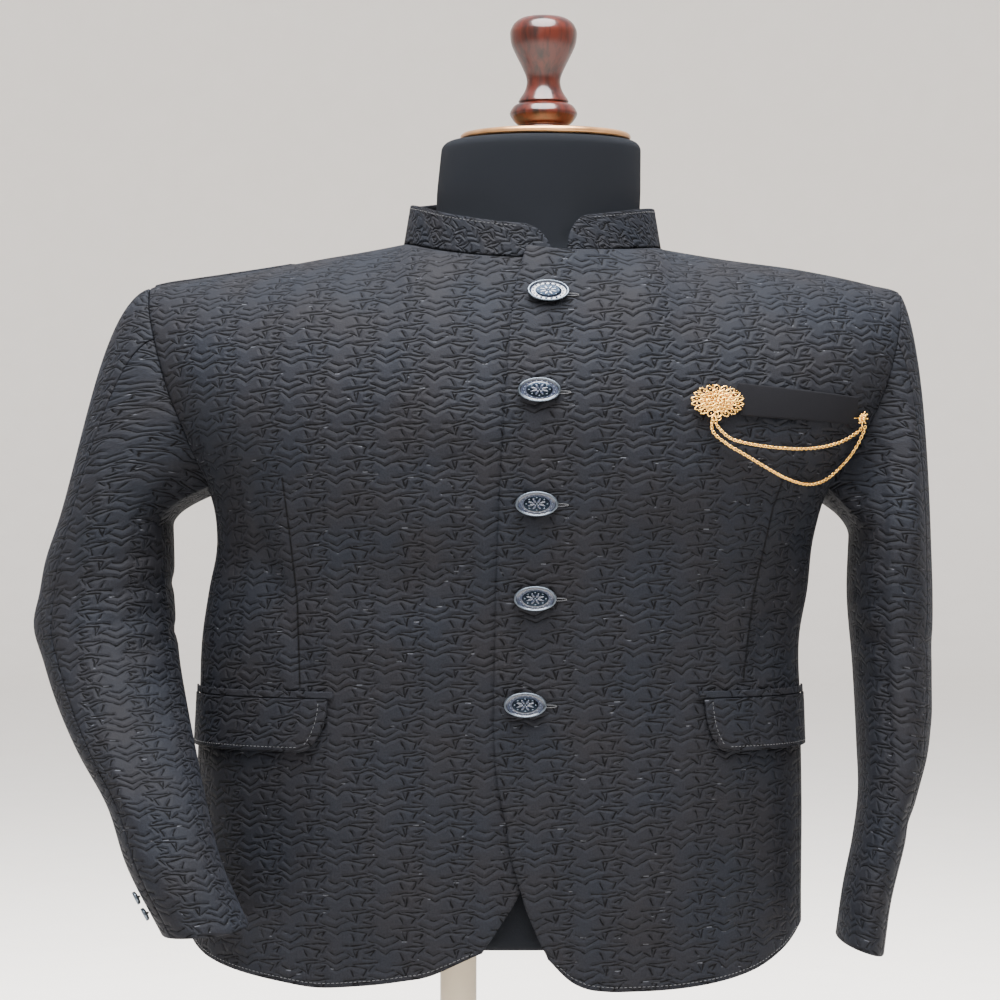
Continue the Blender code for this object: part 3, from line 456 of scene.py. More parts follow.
def panel_point(k, row, side, face):
    """A point of a front or a back: column k from its inner edge out, row from the hem up."""
    share = k / panel_columns(face)
    if row <= LOW_ROWS:
        return low_point(share, max(row, 0), side, face)
    rise = 1 - (1 - min((row - LOW_ROWS) / HIGH_ROWS, 1)) ** HIGH_CROWD
    seam, start = seam_angle(face, side), inner_angle(ARMPIT_Z, side, face)
    low_edge = body_point(start, ARMPIT_Z).x
    low_arm = body_point(seam, ARMPIT_Z).x
    low_part = (body_point(start + (seam - start) * share, ARMPIT_Z).x - low_edge) / (low_arm - low_edge)
    top_edge = NECK_X + side * SEAM / 2
    if face == FRONT:
        top_edge = curve(EDGE_COLUMNS, EDGE, side_name(side), EDGE_TOP)
    top = top_x(k, top_edge, side, face)
    top_part = (top - top_edge) / (SHOULDER_X[side] - top_edge)
    z = ARMPIT_Z + rise * (top_line(top, side, face)[1] - ARMPIT_Z)
    edge = low_edge + (top_edge - low_edge) * rise
    if face == FRONT:
        edge = curve(EDGE_COLUMNS, EDGE, side_name(side), z)
    arm = armhole_x(rise, side) + (low_arm - armhole_x(0.0, side)) * (1 - rise)
    x = edge + (low_part + (top_part - low_part) * rise) * (arm - edge)
    shift = Vector((0, face * SEAM / 2 * rise, 0))
    if face == FRONT:
        return front_cloth(x, z, side) + shift
    return Vector((x, cloth_y(x, z, side, face), z)) + shift


def side_point(k, row, side):
    """A point of the panel under the arm: column k from its front seam, row from the hem up."""
    share = k / SIDE_STEPS
    front, back = (side * seam_angle(face, side) for face in (FRONT, BACK))
    trim = math.degrees(SEAM / ring(300)[1])
    angle = front + trim + (back - front - 2 * trim) * share
    hem = curve(HEM_COLUMNS, HEM, side_name(side), angle)
    top = ARMPIT_Z - UNDERARM_SCOOP * math.sin(math.pi * share) ** 2
    return body_point(side * angle, hem + (top - hem) * (max(row, 0) / LOW_ROWS) ** LOW_CROWD)


def body_axis(point):
    return Vector((ring(point.z)[0], NECK_Y, point.z))


def armhole_loop(side):
    """Points and normals of the panels' edges round an armhole: underarm, front, shoulder, back."""
    top = LOW_ROWS + HIGH_ROWS
    edges = {}
    for face in (FRONT, BACK):
        columns = panel_columns(face)

        def place(k, row):
            return panel_point(k, row, side, face)

        for row in range(LOW_ROWS, top + 1):
            across = place(columns + 0.3, row) - place(columns - 0.3, row)
            up = place(columns, min(row + 0.3, top)) - place(columns, row - 0.3)
            normal = across.cross(up).normalized()
            point = place(columns, row)
            if normal.dot(point - body_axis(point)) < 0:
                normal = -normal
            edges[face, row] = (point, normal)
        point, normal = edges[face, top]
        edges[face, top] = (point, Vector((normal.x, 0, normal.z)).normalized())

    def under(k):
        point = side_point(k, LOW_ROWS, side)
        across = side_point(k + 0.3, LOW_ROWS, side) - side_point(k - 0.3, LOW_ROWS, side)
        normal = across.cross(point - side_point(k, LOW_ROWS - 0.3, side)).normalized()
        return point, normal if normal.x * side > 0 else -normal

    def between(first, second):
        return (first[0] + second[0]) / 2, (first[1] + second[1]).normalized()

    middle = SIDE_STEPS // 2
    loop = [under(k) for k in range(middle, 0, -1)]
    loop.append(between(under(0), edges[FRONT, LOW_ROWS]))
    loop += [edges[FRONT, row] for row in range(LOW_ROWS + 1, top)]
    loop.append(between(edges[FRONT, top], edges[BACK, top]))
    loop += [edges[BACK, row] for row in range(top - 1, LOW_ROWS, -1)]
    loop.append(between(under(SIDE_STEPS), edges[BACK, LOW_ROWS]))
    loop += [under(k) for k in range(SIDE_STEPS - 1, middle, -1)]
    return loop


def loop_turns(loop):
    """The turn round the sleeve that belongs to each point of the armhole, by length along its two halves."""
    points = [point for point, _ in loop] + [loop[0][0]]
    lengths = [(b - a).length for a, b in zip(points, points[1:])]
    half = len(loop) // 2
    turns = [0.0]
    for i, length in enumerate(lengths):
        whole = sum(lengths[:half]) if i < half else sum(lengths[half:])
        turns.append(turns[-1] + math.pi * length / whole)
    return turns


def sleeve_section(side, z):
    """A sleeve's section at a height: centre, half sizes and the tilt of its level."""
    return [curve(SLEEVE_COLUMNS, SLEEVES[side], name, z) for name in SLEEVE_COLUMNS[1:]]


def section_point(side, turn, z):
    """A point round a sleeve: turn 0 faces the body, a quarter turn faces front."""
    centre_x, centre_y, half_x, half_y, tilt = sleeve_section(side, z)
    reach = (abs(math.cos(turn)) ** SLEEVE_SQUARE + abs(math.sin(turn)) ** SLEEVE_SQUARE) ** (-1 / SLEEVE_SQUARE)
    x = centre_x - side * half_x * reach * math.cos(turn)
    return Vector((x, centre_y - half_y * reach * math.sin(turn), z + tilt * side * (x - centre_x)))


def sleeve_maker(side):
    """A function that gives the sleeve's points: column round from the underarm, row down from the armhole."""
    loop = armhole_loop(side)
    turns = loop_turns(loop)
    count = len(loop)
    cuff_z, top_z = SLEEVES[side][0][0], SLEEVES[side][-1][0]

    def at(column):
        column %= count
        first = int(column)
        part = column - first
        (point_a, normal_a), (point_b, normal_b) = loop[first], loop[(first + 1) % count]
        before, after = loop[first - 1][0], loop[(first + 2) % count][0]
        turn = turns[first] + (turns[first + 1] - turns[first]) * part
        along = (point_b - before) * (1 - part) + (after - point_a) * part
        normal = (normal_a * (1 - part) + normal_b * part).normalized()
        return turn, point_a.lerp(point_b, part), normal, along

    def point(column, row):
        turn, start, normal, along = at(column)
        if row >= SLEEVE_HEAD_ROWS:
            z = top_z + (cuff_z - top_z) * (row - SLEEVE_HEAD_ROWS) / SLEEVE_BODY_ROWS
            return section_point(side, turn, z)
        leave = normal.cross(along).normalized()
        middle = Vector((ring(ARMPIT_Z)[0], NECK_Y, ARMPIT_Z - 60))
        if leave.dot(start - middle) < 0:
            leave = -leave
        start = start + leave * SLEEVE_GAP
        high = (1 - math.cos(turn)) / 2
        end = section_point(side, turn, top_z)
        down = (section_point(side, turn, top_z - 8) - end).normalized()
        out = Vector((side, 0, -HEAD_DROP[side] + 0.25 * high)).normalized()
        reach = (end - start).length
        push = out * (reach * 0.5 + HEAD_PUSH[side] * high)
        t = row / SLEEVE_HEAD_ROWS
        return (start * (2 * t ** 3 - 3 * t ** 2 + 1) + push * (t ** 3 - 2 * t ** 2 + t)
                + end * (3 * t ** 2 - 2 * t ** 3) + down * reach * 0.8 * (t ** 3 - t ** 2))

    def rim(column):
        return at(column)[2]

    return point, rim


def collar_point(share, rise):
    """A point of the stand collar, from the wearer's right end round the back to the left end."""
    rise = min(max(rise, 0.0), 1.0)
    span = COLLAR_END - COLLAR_START
    away = 1 - math.sqrt(1 - rise ** 2)
    first = COLLAR_START + COLLAR_END_ROUND["start"] * away
    last = COLLAR_START + span - COLLAR_END_ROUND["end"] * away
    angle = first + (last - first) * share
    turn = math.radians(angle)
    x = NECK_X - NECK_HALF * math.sin(turn)
    is_front = math.cos(turn) > 0
    y = NECK_Y - (NECK_FRONT if is_front else NECK_BACK) * math.cos(turn)
    column = "back" if not is_front else ("right" if angle < 180 else "left")
    base = curve(NECKLINE_COLUMNS, NECKLINE, column, x) + COLLAR_BASE_GAP
    height = curve(COLLAR_HEIGHT_COLUMNS, COLLAR_HEIGHT, "height", angle)
    inward = Vector((NECK_X - x, NECK_Y - y, 0)).normalized() * COLLAR_LEAN * rise
    return Vector((x, y, base + height * rise)) + inward


def flap_point(side, share, drop, out):
    """A point on or over the hip, from the flap's front end round to the side."""
    start, end = FLAP_SPAN[side]
    angle = start + (end - start) * share
    z = FLAP_TOP - (FLAP_TOP - FLAP_BOTTOM) * drop
    return body_point(side * angle, z, out)


def pin_height(x, z):
    """Height over the front of what a pin goes through: the welt where there is one."""
    on_welt = WELT[0][0] - 18 < x < WELT[1][0] + 18
    low = line(WELT_COLUMNS, WELT, "low", x) - 14
    high = line(WELT_COLUMNS, WELT, "high", x) + 14
    return LAY + WELT_THICK - 0.2 if on_welt and low < z < high else 0.0


def facing(point, normal, up=Vector((0, 0, 1))):
    """A frame at a point, its Z along the normal and its Y near upright."""
    z = normal.normalized()
    x = up.cross(z).normalized()
    y = z.cross(x)
    return Matrix.Translation(point) @ Matrix((x, y, z)).transposed().to_4x4()


def form_side(z, side):
    """Where the form ends sideways at a height: at the arm plates, under the shoulder seam, then at the neck."""
    centre, half = ring(min(z, ARMPIT_Z))[:2]
    body = centre + side * (half - FORM_CLEAR - WALL)
    if z <= ARMPIT_Z:
        return body
    outs = [row[0] for row in SHOULDER]
    ridge = [curve(SHOULDER_COLUMNS, SHOULDER, side_name(side), out) - WALL - RIDGE_CLEAR for out in outs]
    if z < ridge[0]:
        plate = body + (FORM_SIDE[side] - body) * smooth((z - ARMPIT_Z) / 90)
        under = NECK_X + side * float(np.interp(-z, [-height for height in ridge], outs))
        return side * min(side * plate, side * under)
    base, neck = NECK_X + side * FORM_NECK_HALF, NECK[1]
    return base + (neck[1] + side * neck[2] - base) * min((z - ridge[0]) / (neck[0] - ridge[0]), 1.0)


def form_middle(z, face):
    """Depth of the form in front of or behind the neck."""
    limit = NECK[0][0] if face == FRONT else NECK[1][0]
    if z < limit:
        return cloth_y(NECK_X, z, RIGHT, face) - face * (FORM_CLEAR + WALL)
    return NECK_Y + face * curve(NECK_COLUMNS, NECK, "front" if face == FRONT else "back", z)


def form_depth(x, z, face):
    """Depth of the form at x over the armholes: the cloth's depth less the clearance, closed in to the neck."""
    side = LEFT if x >= NECK_X else RIGHT
    edge = NECK_X + side * (NECK_HALF + 0.01)
    ridge = top_line(edge, side, face)[1] - WALL - RIDGE_CLEAR
    limit, y_out = abs(form_side(z, side) - NECK_X), NECK_Y
    if z < ridge:
        at = x if abs(x - NECK_X) > NECK_HALF else edge
        keep = 1 - (FORM_CLEAR + WALL) / abs(full_depth(at, z, face) - NECK_Y)
        y_out += (cloth_y(at, z + WALL + RIDGE_CLEAR, side, face) - NECK_Y) * keep
        limit = FORM_NECK_HALF
    out = abs(x - NECK_X)
    if out >= limit:
        return y_out
    return y_out + (form_middle(z, face) - y_out) * math.sqrt(1 - (out / limit) ** 2)


def form_point(angle, z):
    """A point of the form's surface, by angle from the front and height."""
    sine, cosine = math.sin(math.radians(angle)), math.cos(math.radians(angle))
    face = FRONT if cosine > 0 else BACK
    if z <= ARMPIT_Z:
        return body_point(angle, z, -FORM_CLEAR - WALL)
    if z >= NECK[1][0]:
        centre = curve(NECK_COLUMNS, NECK, "centre", z)
        x = centre + curve(NECK_COLUMNS, NECK, "half", z) * sine
        return Vector((x, NECK_Y + face * curve(NECK_COLUMNS, NECK, "front" if face == FRONT else "back", z)
                       * abs(cosine), z))
    left, right = form_side(z, LEFT), form_side(z, RIGHT)
    x = (left + right) / 2 + (left - right) / 2 * sine
    y = NECK_Y + (form_depth(x, z, face) - NECK_Y) * smooth(abs(cosine) / 0.19)
    return Vector((x, y, z))


# how finely the cloth is meshed, and how its cut edges are rounded
FINE_ACROSS, FINE_UP = 5, 4
EDGE_STEP = 0.045
EASE_PASSES = 14
EDGE_ROUND = 0.65

# soft folds on the body: a run from one point to another as seen from the front, its half width
# and its height, negative for a trough
FOLD_COLUMNS = ("face", "x0", "z0", "x1", "z1", "wide", "high")
BODY_FOLDS = (
    (FRONT, -150, 470, -105, 350, 9, -2.0),
    (FRONT, -128, 500, -120, 350, 16, 1.2),
    (FRONT, 262, 480, 216, 350, 9, -2.0),
    (FRONT, -60, 660, -150, 610, 26, 1.6),
    (FRONT, 100, 655, 180, 618, 24, 1.4),
    (FRONT, 62, 622, 96, 600, 10, -1.4),
    (FRONT, 40, 600, -30, 560, 22, -1.4),
    (FRONT, 30, 520, -60, 505, 20, -1.2),
    (FRONT, 30, 440, -90, 425, 22, -1.5),
    (FRONT, 90, 440, 200, 470, 24, -1.5),
    (FRONT, 30, 372, -110, 395, 24, 1.3),
    (FRONT, 70, 372, 180, 392, 24, 1.3),
    (FRONT, -185, 455, -100, 415, 14, -1.8),
    (FRONT, 250, 450, 170, 412, 14, -1.8),
    (FRONT, -60, 300, -70, 150, 30, 1.8),
    (FRONT, 120, 300, 130, 150, 30, 1.8),
    (FRONT, -130, 280, -140, 150, 22, -1.6),
    (FRONT, 200, 290, 205, 150, 22, -1.6),
    (BACK, -170, 470, -60, 415, 16, -2.0),
    (BACK, 240, 470, 130, 415, 16, -2.0),
    (BACK, -150, 432, 30, 398, 18, -2.2),
    (BACK, 220, 432, 50, 398, 18, -2.2),
    (BACK, -90, 640, 180, 640, 30, 2.0),
    (BACK, -60, 350, -70, 170, 34, 2.4),
    (BACK, 140, 350, 150, 170, 34, 2.4),
    (BACK, 36, 330, 36, 165, 26, -2.0),
)

# soft folds on the sleeves, by turn round the sleeve in degrees and by height
SLEEVE_FOLD_COLUMNS = ("turn0", "z0", "turn1", "z1", "wide", "high")
SLEEVE_FOLDS = {
    RIGHT: (
        (96, 540, 98, 430, 5, 1.5),
        (98, 430, 102, 330, 5, 1.8),
        (102, 330, 118, 262, 5, 1.6),
        (30, 452, 84, 444, 5, -1.4),
        (24, 430, 80, 420, 5, -1.8),
        (26, 408, 86, 396, 6, -2.0),
        (24, 384, 80, 374, 6, -2.0),
        (20, 360, 72, 352, 6, -1.8),
        (22, 336, 66, 330, 6, -1.4),
        (330, 430, 24, 420, 6, -1.6),
        (330, 392, 24, 388, 6, -1.6),
        (140, 410, 215, 380, 16, 1.6),
        (225, 470, 300, 440, 12, -1.6),
        (60, 300, 120, 270, 9, -1.4),
        (50, 262, 110, 236, 9, -1.2),
        (200, 330, 260, 290, 10, -1.6),
    ),
    LEFT: (
        (62, 540, 66, 430, 6, -1.6),
        (66, 430, 66, 260, 6, -1.8),
        (112, 560, 108, 430, 12, 1.6),
        (20, 420, 70, 410, 5, -1.4),
        (20, 392, 72, 380, 6, -1.6),
        (20, 362, 74, 352, 6, -1.6),
        (96, 400, 170, 372, 9, -1.4),
        (96, 330, 168, 306, 9, -1.2),
        (200, 410, 285, 384, 12, -1.8),
        (200, 360, 285, 340, 12, -1.6),
        (110, 262, 190, 236, 9, -1.2),
        (60, 222, 130, 204, 8, -1.0),
    ),
}

# the jacquard's repeat: strokes woven below the ground, in millimetres from the middle of a
# column of nested chevrons, and from the middle of the dashes between two columns
CHEVRONS = (
    ((-5.9, 9.3), (0.0, 6.4)),
    ((0.0, 6.4), (6.4, 8.8)),
    ((-11.4, 3.9), (0.0, -0.5)),
    ((0.0, -0.5), (10.6, 5.5)),
    ((-13.2, -0.9), (-6.4, -2.5)),
    ((-6.4, -2.5), (0.5, -6.4)),
    ((0.5, -6.4), (5.4, -3.4)),
    ((5.4, -3.4), (11.0, -1.7)),
    ((-8.2, 12.6), (-12.0, 8.2)),
    ((14.2, 11.4), (15.8, 6.4)),
)
DASHES = (
    ((-13.4, 10.2), (4.6, 12.9)),
    ((-4.6, 8.6), (11.0, 11.6)),
    ((-5.6, -3.9), (13.2, -2.2)),
    ((-8.2, -5.0), (5.6, -7.4)),
    ((-1.2, 8.0), (-3.0, 1.6)),
    ((4.4, 5.0), (10.4, 7.0)),
    ((10.4, 7.0), (8.0, 3.2)),
    ((5.6, -7.4), (2.6, -12.5)),
    ((-6.9, -8.6), (-4.4, -13.4)),
    ((-10.2, 5.0), (-5.2, 2.2)),
    ((3.0, 0.8), (9.6, -0.2)),
)
DASH_SHIFT = (19.2, 2.9)
CHART_WIDE, CHART_HIGH = 38.4, 28.3

# the front darts' seams and the buttonhole slits, as strokes in x and z on the fronts: painted shade, drawn near-black
# into the cloth's colour where the seams' creases and the slits fall in shade
SLIT_SHADE = tuple(((x + 12, z - 1), (x + 23, z - 1)) for x, z in BUTTONS)
DART_SEAM_SHADE = (
    ((-128, 506), (-123, 468)),
    ((-123, 468), (-117, 415)),
    ((-117, 415), (-115, 353)),
    ((241, 505), (234, 486)),
    ((234, 486), (219, 416)),
    ((219, 416), (212, 357)),
)

# button face, by radius and height over its back, as shares of half its width and of its thickness
BUTTON_FACE = (
    (0.0, 0.90), (0.50, 0.86), (0.58, 0.80), (0.62, 0.72), (0.82, 0.70), (0.86, 0.78), (0.90, 0.98),
    (0.94, 1.04), (0.98, 0.98), (1.00, 0.72), (0.98, 0.40), (0.90, 0.22), (0.60, 0.06), (0.16, 0.0),
)
BUTTON_BEADS, BUTTON_PETALS = 18, 8

# the floor's flat disc, the bend up into its round wall, and the wall's top, in metres
FLOOR_RADIUS, BEND_RADIUS, WALL_TOP = 6.5, 1.5, 5.5

# camera, set back along -Y at the height of the jacket's middle
CAMERA_X, CAMERA_Z, CAMERA_BACK = 32.0, 490.0, 2600.0
PIXEL = 0.769
SENSOR = 36.0


def linear(hex_colour):
    """An sRGB hex colour as linear RGBA."""
    def channel(text):
        value = int(text, 16) / 255
        return value / 12.92 if value <= 0.04045 else ((value + 0.055) / 1.055) ** 2.4
    return tuple(channel(hex_colour[i:i + 2]) for i in (1, 3, 5)) + (1.0,)


def add(tree, kind, links=None, out=0, **settings):
    """Add a node with its settings, fill or link its inputs, and give back one of its outputs."""
    made = tree.nodes.new(kind)
    for name, value in settings.items():
        setattr(made, name, value)
    for key, value in (links or {}).items():
        if isinstance(value, bpy.types.NodeSocket):
            tree.links.new(value, made.inputs[key])
        else:
            made.inputs[key].default_value = value
    return made.outputs[out] if made.outputs else made


def new_material(name):
    """An empty node material and its tree."""
    made = bpy.data.materials.new(name)
    made.use_nodes = True
    made.node_tree.nodes.clear()
    return made, made.node_tree


def finish_material(tree, links):
    """End a material in a Principled BSDF with these inputs."""
    shader = add(tree, "ShaderNodeBsdfPrincipled", links, "BSDF")
    add(tree, "ShaderNodeOutputMaterial", {"Surface": shader})


def stroke_distance(tree, place, strokes):
    """Distance in millimetres from a place in the repeat to the nearest of its strokes."""
    nearest = None
    for (x0, y0), (x1, y1) in strokes:
        run = Vector((x1 - x0, y1 - y0, 0))
        away = add(tree, "ShaderNodeVectorMath", {0: place, 1: (x0, y0, 0)}, operation="SUBTRACT")
        share = add(tree, "ShaderNodeVectorMath", {0: away, 1: run / run.length_squared}, 1,
                    operation="DOT_PRODUCT")
        share = add(tree, "ShaderNodeMath", {0: share, 1: 0.0}, operation="ADD", use_clamp=True)
        foot = add(tree, "ShaderNodeVectorMath", {0: run, "Scale": share}, operation="SCALE")
        gap = add(tree, "ShaderNodeVectorMath", {0: away, 1: foot}, 1, operation="DISTANCE")
        nearest = gap if nearest is None else add(tree, "ShaderNodeMath", {0: nearest, 1: gap},
                                                  operation="MINIMUM")
    return nearest


def half_drop(tree, place, wide, high, shift=(0.0, 0.0)):
    """A place in the repeat, whose columns drop by half a repeat from one to the next."""
    moved = add(tree, "ShaderNodeVectorMath", {0: place, 1: (*shift, 0)}, operation="SUBTRACT")
    scaled = add(tree, "ShaderNodeVectorMath", {0: moved, 1: (1 / wide, 1 / high, 0)}, operation="MULTIPLY")
    split = tree.nodes.new("ShaderNodeSeparateXYZ")
    tree.links.new(scaled, split.inputs[0])
    column = add(tree, "ShaderNodeMath", {0: split.outputs[0]}, operation="ROUND")
    across = add(tree, "ShaderNodeMath", {0: split.outputs[0], 1: column}, operation="SUBTRACT")
    up = add(tree, "ShaderNodeMath", {0: column, 1: 0.5, 2: split.outputs[1]}, operation="MULTIPLY_ADD")
    row = add(tree, "ShaderNodeMath", {0: up}, operation="ROUND")
    rise = add(tree, "ShaderNodeMath", {0: up, 1: row}, operation="SUBTRACT")
    local = add(tree, "ShaderNodeCombineXYZ", {0: across, 1: rise})
    return add(tree, "ShaderNodeVectorMath", {0: local, 1: (wide, high, 0)}, operation="MULTIPLY")


def jacquard():
    """Polyester-viscose jacquard: a matt charcoal ground with a blue cast, and the figure pulled in
    as near-black grooves that pucker it. The threads are drawn at 1.3 mm, four times their size,
    so that they show."""
    found = bpy.data.materials.get("charcoal jacquard")
    if found:
        return found
    scene = bpy.context.scene
    cloth, shape = scene.jacket_cloth, scene.jacket_pattern
    made, tree = new_material("charcoal jacquard")
    uv = add(tree, "ShaderNodeUVMap", uv_map="UVMap")
    place = add(tree, "ShaderNodeVectorMath", {0: uv, "Scale": 1 / MM}, operation="SCALE")
    wander = add(tree, "ShaderNodeTexNoise", {"Vector": place, "Scale": 0.08, "Detail": 1.0}, 1)
    wander = add(tree, "ShaderNodeVectorMath", {0: wander, 1: (0.5, 0.5, 0.5)}, operation="SUBTRACT")
    wander = add(tree, "ShaderNodeVectorMath", {0: wander, "Scale": shape.wander / MM}, operation="SCALE")
    drawn = add(tree, "ShaderNodeVectorMath", {0: place, 1: wander}, operation="ADD")
    drawn = add(tree, "ShaderNodeVectorMath", {
        0: drawn, 1: (CHART_WIDE * MM / shape.repeat_wide, CHART_HIGH * MM / shape.repeat_high, 0)}, operation="MULTIPLY")
    wide, high = CHART_WIDE, CHART_HIGH
    chevrons = stroke_distance(tree, half_drop(tree, drawn, wide, high), CHEVRONS)
    chevrons = add(tree, "ShaderNodeMath", {0: chevrons, 1: 0.12}, operation="ADD")
    dashes = stroke_distance(tree, half_drop(tree, drawn, wide, high, DASH_SHIFT), DASHES)
    gap = add(tree, "ShaderNodeMath", {0: chevrons, 1: dashes}, operation="MINIMUM")
    uneven = add(tree, "ShaderNodeTexNoise", {"Vector": place, "Scale": 0.30, "Detail": 0.0})
    uneven = add(tree, "ShaderNodeMapRange", {0: uneven, 1: 0.3, 2: 0.7, 3: -0.22, 4: 0.30})
    gap = add(tree, "ShaderNodeMath", {0: gap, 1: uneven}, operation="ADD")
    half = shape.stroke_wide / MM / 2
    groove = add(tree, "ShaderNodeMapRange", {0: gap, 1: half * 0.3, 2: half * 2.0, 3: 1.0, 4: 0.0},
                 interpolation_type="SMOOTHSTEP")
    pucker = add(tree, "ShaderNodeMapRange", {0: gap, 1: 0.2, 2: 3.2, 3: 0.0, 4: 1.0},
                 interpolation_type="SMOOTHSTEP")
    body = add(tree, "ShaderNodeTexCoord", {}, "Object")
    facing_out = tree.nodes.new("ShaderNodeSeparateXYZ")
    tree.links.new(body, facing_out.inputs[0])
    upright = add(tree, "ShaderNodeCombineXYZ", {0: facing_out.outputs[0], 1: facing_out.outputs[2]})
    upright = add(tree, "ShaderNodeVectorMath", {0: upright, "Scale": 1 / MM}, operation="SCALE")
    # painted shade: the darts' seams and the buttonhole slits are drawn as flat near-black strokes on the front only,
    # with no relief
    seam_and_slit_shade = stroke_distance(tree, upright, DART_SEAM_SHADE + SLIT_SHADE)
    behind = add(tree, "ShaderNodeMapRange", {0: facing_out.outputs[1], 1: -0.06, 2: -0.05, 3: 0.0, 4: 9.0})
    seam_and_slit_shade = add(tree, "ShaderNodeMath", {0: seam_and_slit_shade, 1: behind}, operation="ADD")
    seam_and_slit_shade = add(tree, "ShaderNodeMapRange", {0: seam_and_slit_shade, 1: 0.3, 2: 1.1, 3: 1.0, 4: 0.0},
               interpolation_type="SMOOTHSTEP")
    figure_and_seam_shade = add(tree, "ShaderNodeMath", {0: groove, 1: seam_and_slit_shade}, operation="MAXIMUM")
    thread = add(tree, "ShaderNodeTexNoise", {"Vector": place, "Scale": 0.78, "Detail": 1.0, "Roughness": 0.7})
    blotch = add(tree, "ShaderNodeTexNoise", {"Vector": place, "Scale": 0.018, "Detail": 2.0})
    blotch = add(tree, "ShaderNodeMapRange", {0: blotch, 1: 0.35, 2: 0.65, 3: 0.0, 4: 1.0})
    ground = add(tree, "ShaderNodeMix", {0: blotch, 6: linear(cloth.ground_cool), 7: linear(cloth.ground_warm)}, 2,
                 data_type="RGBA")
    light = add(tree, "ShaderNodeMapRange", {0: thread, 1: 0.3, 2: 0.7, 3: 0.66, 4: 1.34})
    ground = add(tree, "ShaderNodeVectorMath", {0: ground, "Scale": light}, operation="SCALE")
    # the woven figure and the painted shade of the seams and slits both take the groove colour here
    colour = add(tree, "ShaderNodeMix", {0: figure_and_seam_shade, 6: ground, 7: linear(cloth.groove)}, 2, data_type="RGBA")
    # painted highlight: rare short dashes near the figure's lines are mixed to the glint colour as glints on the
    # threads
    glint = add(tree, "ShaderNodeTexWhiteNoise", {"Vector": add(tree, "ShaderNodeVectorMath", {
        0: place, 1: (4.2, 0.8, 0.8)}, operation="SNAP")}, 0, noise_dimensions="2D")
    glint = add(tree, "ShaderNodeMapRange", {0: glint, 1: 0.992, 2: 0.998, 3: 0.0, 4: 0.13})
    edge = add(tree, "ShaderNodeMapRange", {0: gap, 1: half * 1.2, 2: half * 3.2, 3: 1.0, 4: 0.0})
    glint = add(tree, "ShaderNodeMath", {0: glint, 1: edge}, operation="MULTIPLY")
    colour = add(tree, "ShaderNodeMix", {0: glint, 6: colour, 7: linear(cloth.glint)}, 2, data_type="RGBA")
    rise = add(tree, "ShaderNodeMath", {0: pucker, 1: 0.60}, operation="MULTIPLY")
    height = add(tree, "ShaderNodeMath", {0: groove, 1: -0.50, 2: rise}, operation="MULTIPLY_ADD")
    height = add(tree, "ShaderNodeMath", {0: thread, 1: 0.20, 2: height}, operation="MULTIPLY_ADD")
    bump = add(tree, "ShaderNodeBump", {"Strength": 1.0, "Distance": shape.relief, "Height": height})
    rough = add(tree, "ShaderNodeMapRange", {0: thread, 1: 0.3, 2: 0.7, 3: 0.62, 4: 0.86})
    finish_material(tree, {"Base Color": colour, "Roughness": rough, "Normal": bump, "Sheen Weight": 0.03,
                           "Sheen Roughness": 0.4, "Sheen Tint": linear(cloth.sheen), "Specular IOR Level": 0.07})
    return made


def plain_cloth(name, hex_colour, rib, sheen):
    """Plain twill or cotton: fine slanted ribs, drawn at three times their size, and a soft nap."""
    found = bpy.data.materials.get(name)
    if found:
        return found
    made, tree = new_material(name)
    uv = add(tree, "ShaderNodeUVMap", uv_map="UVMap")
    place = add(tree, "ShaderNodeVectorMath", {0: uv, "Scale": 1 / MM}, operation="SCALE")
    turned = add(tree, "ShaderNodeMapping", {"Vector": place, "Rotation": (0, 0, math.radians(32))})
    ribs = add(tree, "ShaderNodeTexWave", {"Vector": turned, "Scale": 0.32 / rib, "Distortion": 0.8}, 1)
    nap = add(tree, "ShaderNodeTexNoise", {"Vector": place, "Scale": 0.9, "Detail": 3.0})
    shade = add(tree, "ShaderNodeMapRange", {0: nap, 1: 0.3, 2: 0.7, 3: 0.8, 4: 1.2})
    colour = add(tree, "ShaderNodeVectorMath", {0: linear(hex_colour)[:3], "Scale": shade}, operation="SCALE")
    height = add(tree, "ShaderNodeMath", {0: ribs, 1: 0.5, 2: nap}, operation="MULTIPLY_ADD")
    bump = add(tree, "ShaderNodeBump", {"Strength": 0.6, "Distance": 0.0003, "Height": height})
    finish_material(tree, {"Base Color": colour, "Roughness": 0.85, "Specular IOR Level": 0.08, "Normal": bump, "Sheen Weight": sheen,
                           "Sheen Roughness": 0.5, "Sheen Tint": linear("#8a93a8")})
    return made


def thread_material():
    """Mercerised sewing thread, dark in its own tone and painted a shade lighter than the cloth as a painted highlight
    along the sewn edges.
    """
    found = bpy.data.materials.get("sewing thread")
    if found:
        return found
    made, tree = new_material("sewing thread")
    place = add(tree, "ShaderNodeTexCoord", {}, "Object")
    twist = add(tree, "ShaderNodeTexNoise", {"Vector": place, "Scale": 2600.0, "Detail": 1.0})
    # painted highlight: the lighter end of this mix stands in for the light caught along the sewn edges
    colour = add(tree, "ShaderNodeMix", {0: twist, 6: linear("#121317"), 7: linear("#2a2c33")}, 2,
                 data_type="RGBA")
    finish_material(tree, {"Base Color": colour, "Roughness": 0.5, "Sheen Weight": 0.3})
    return made


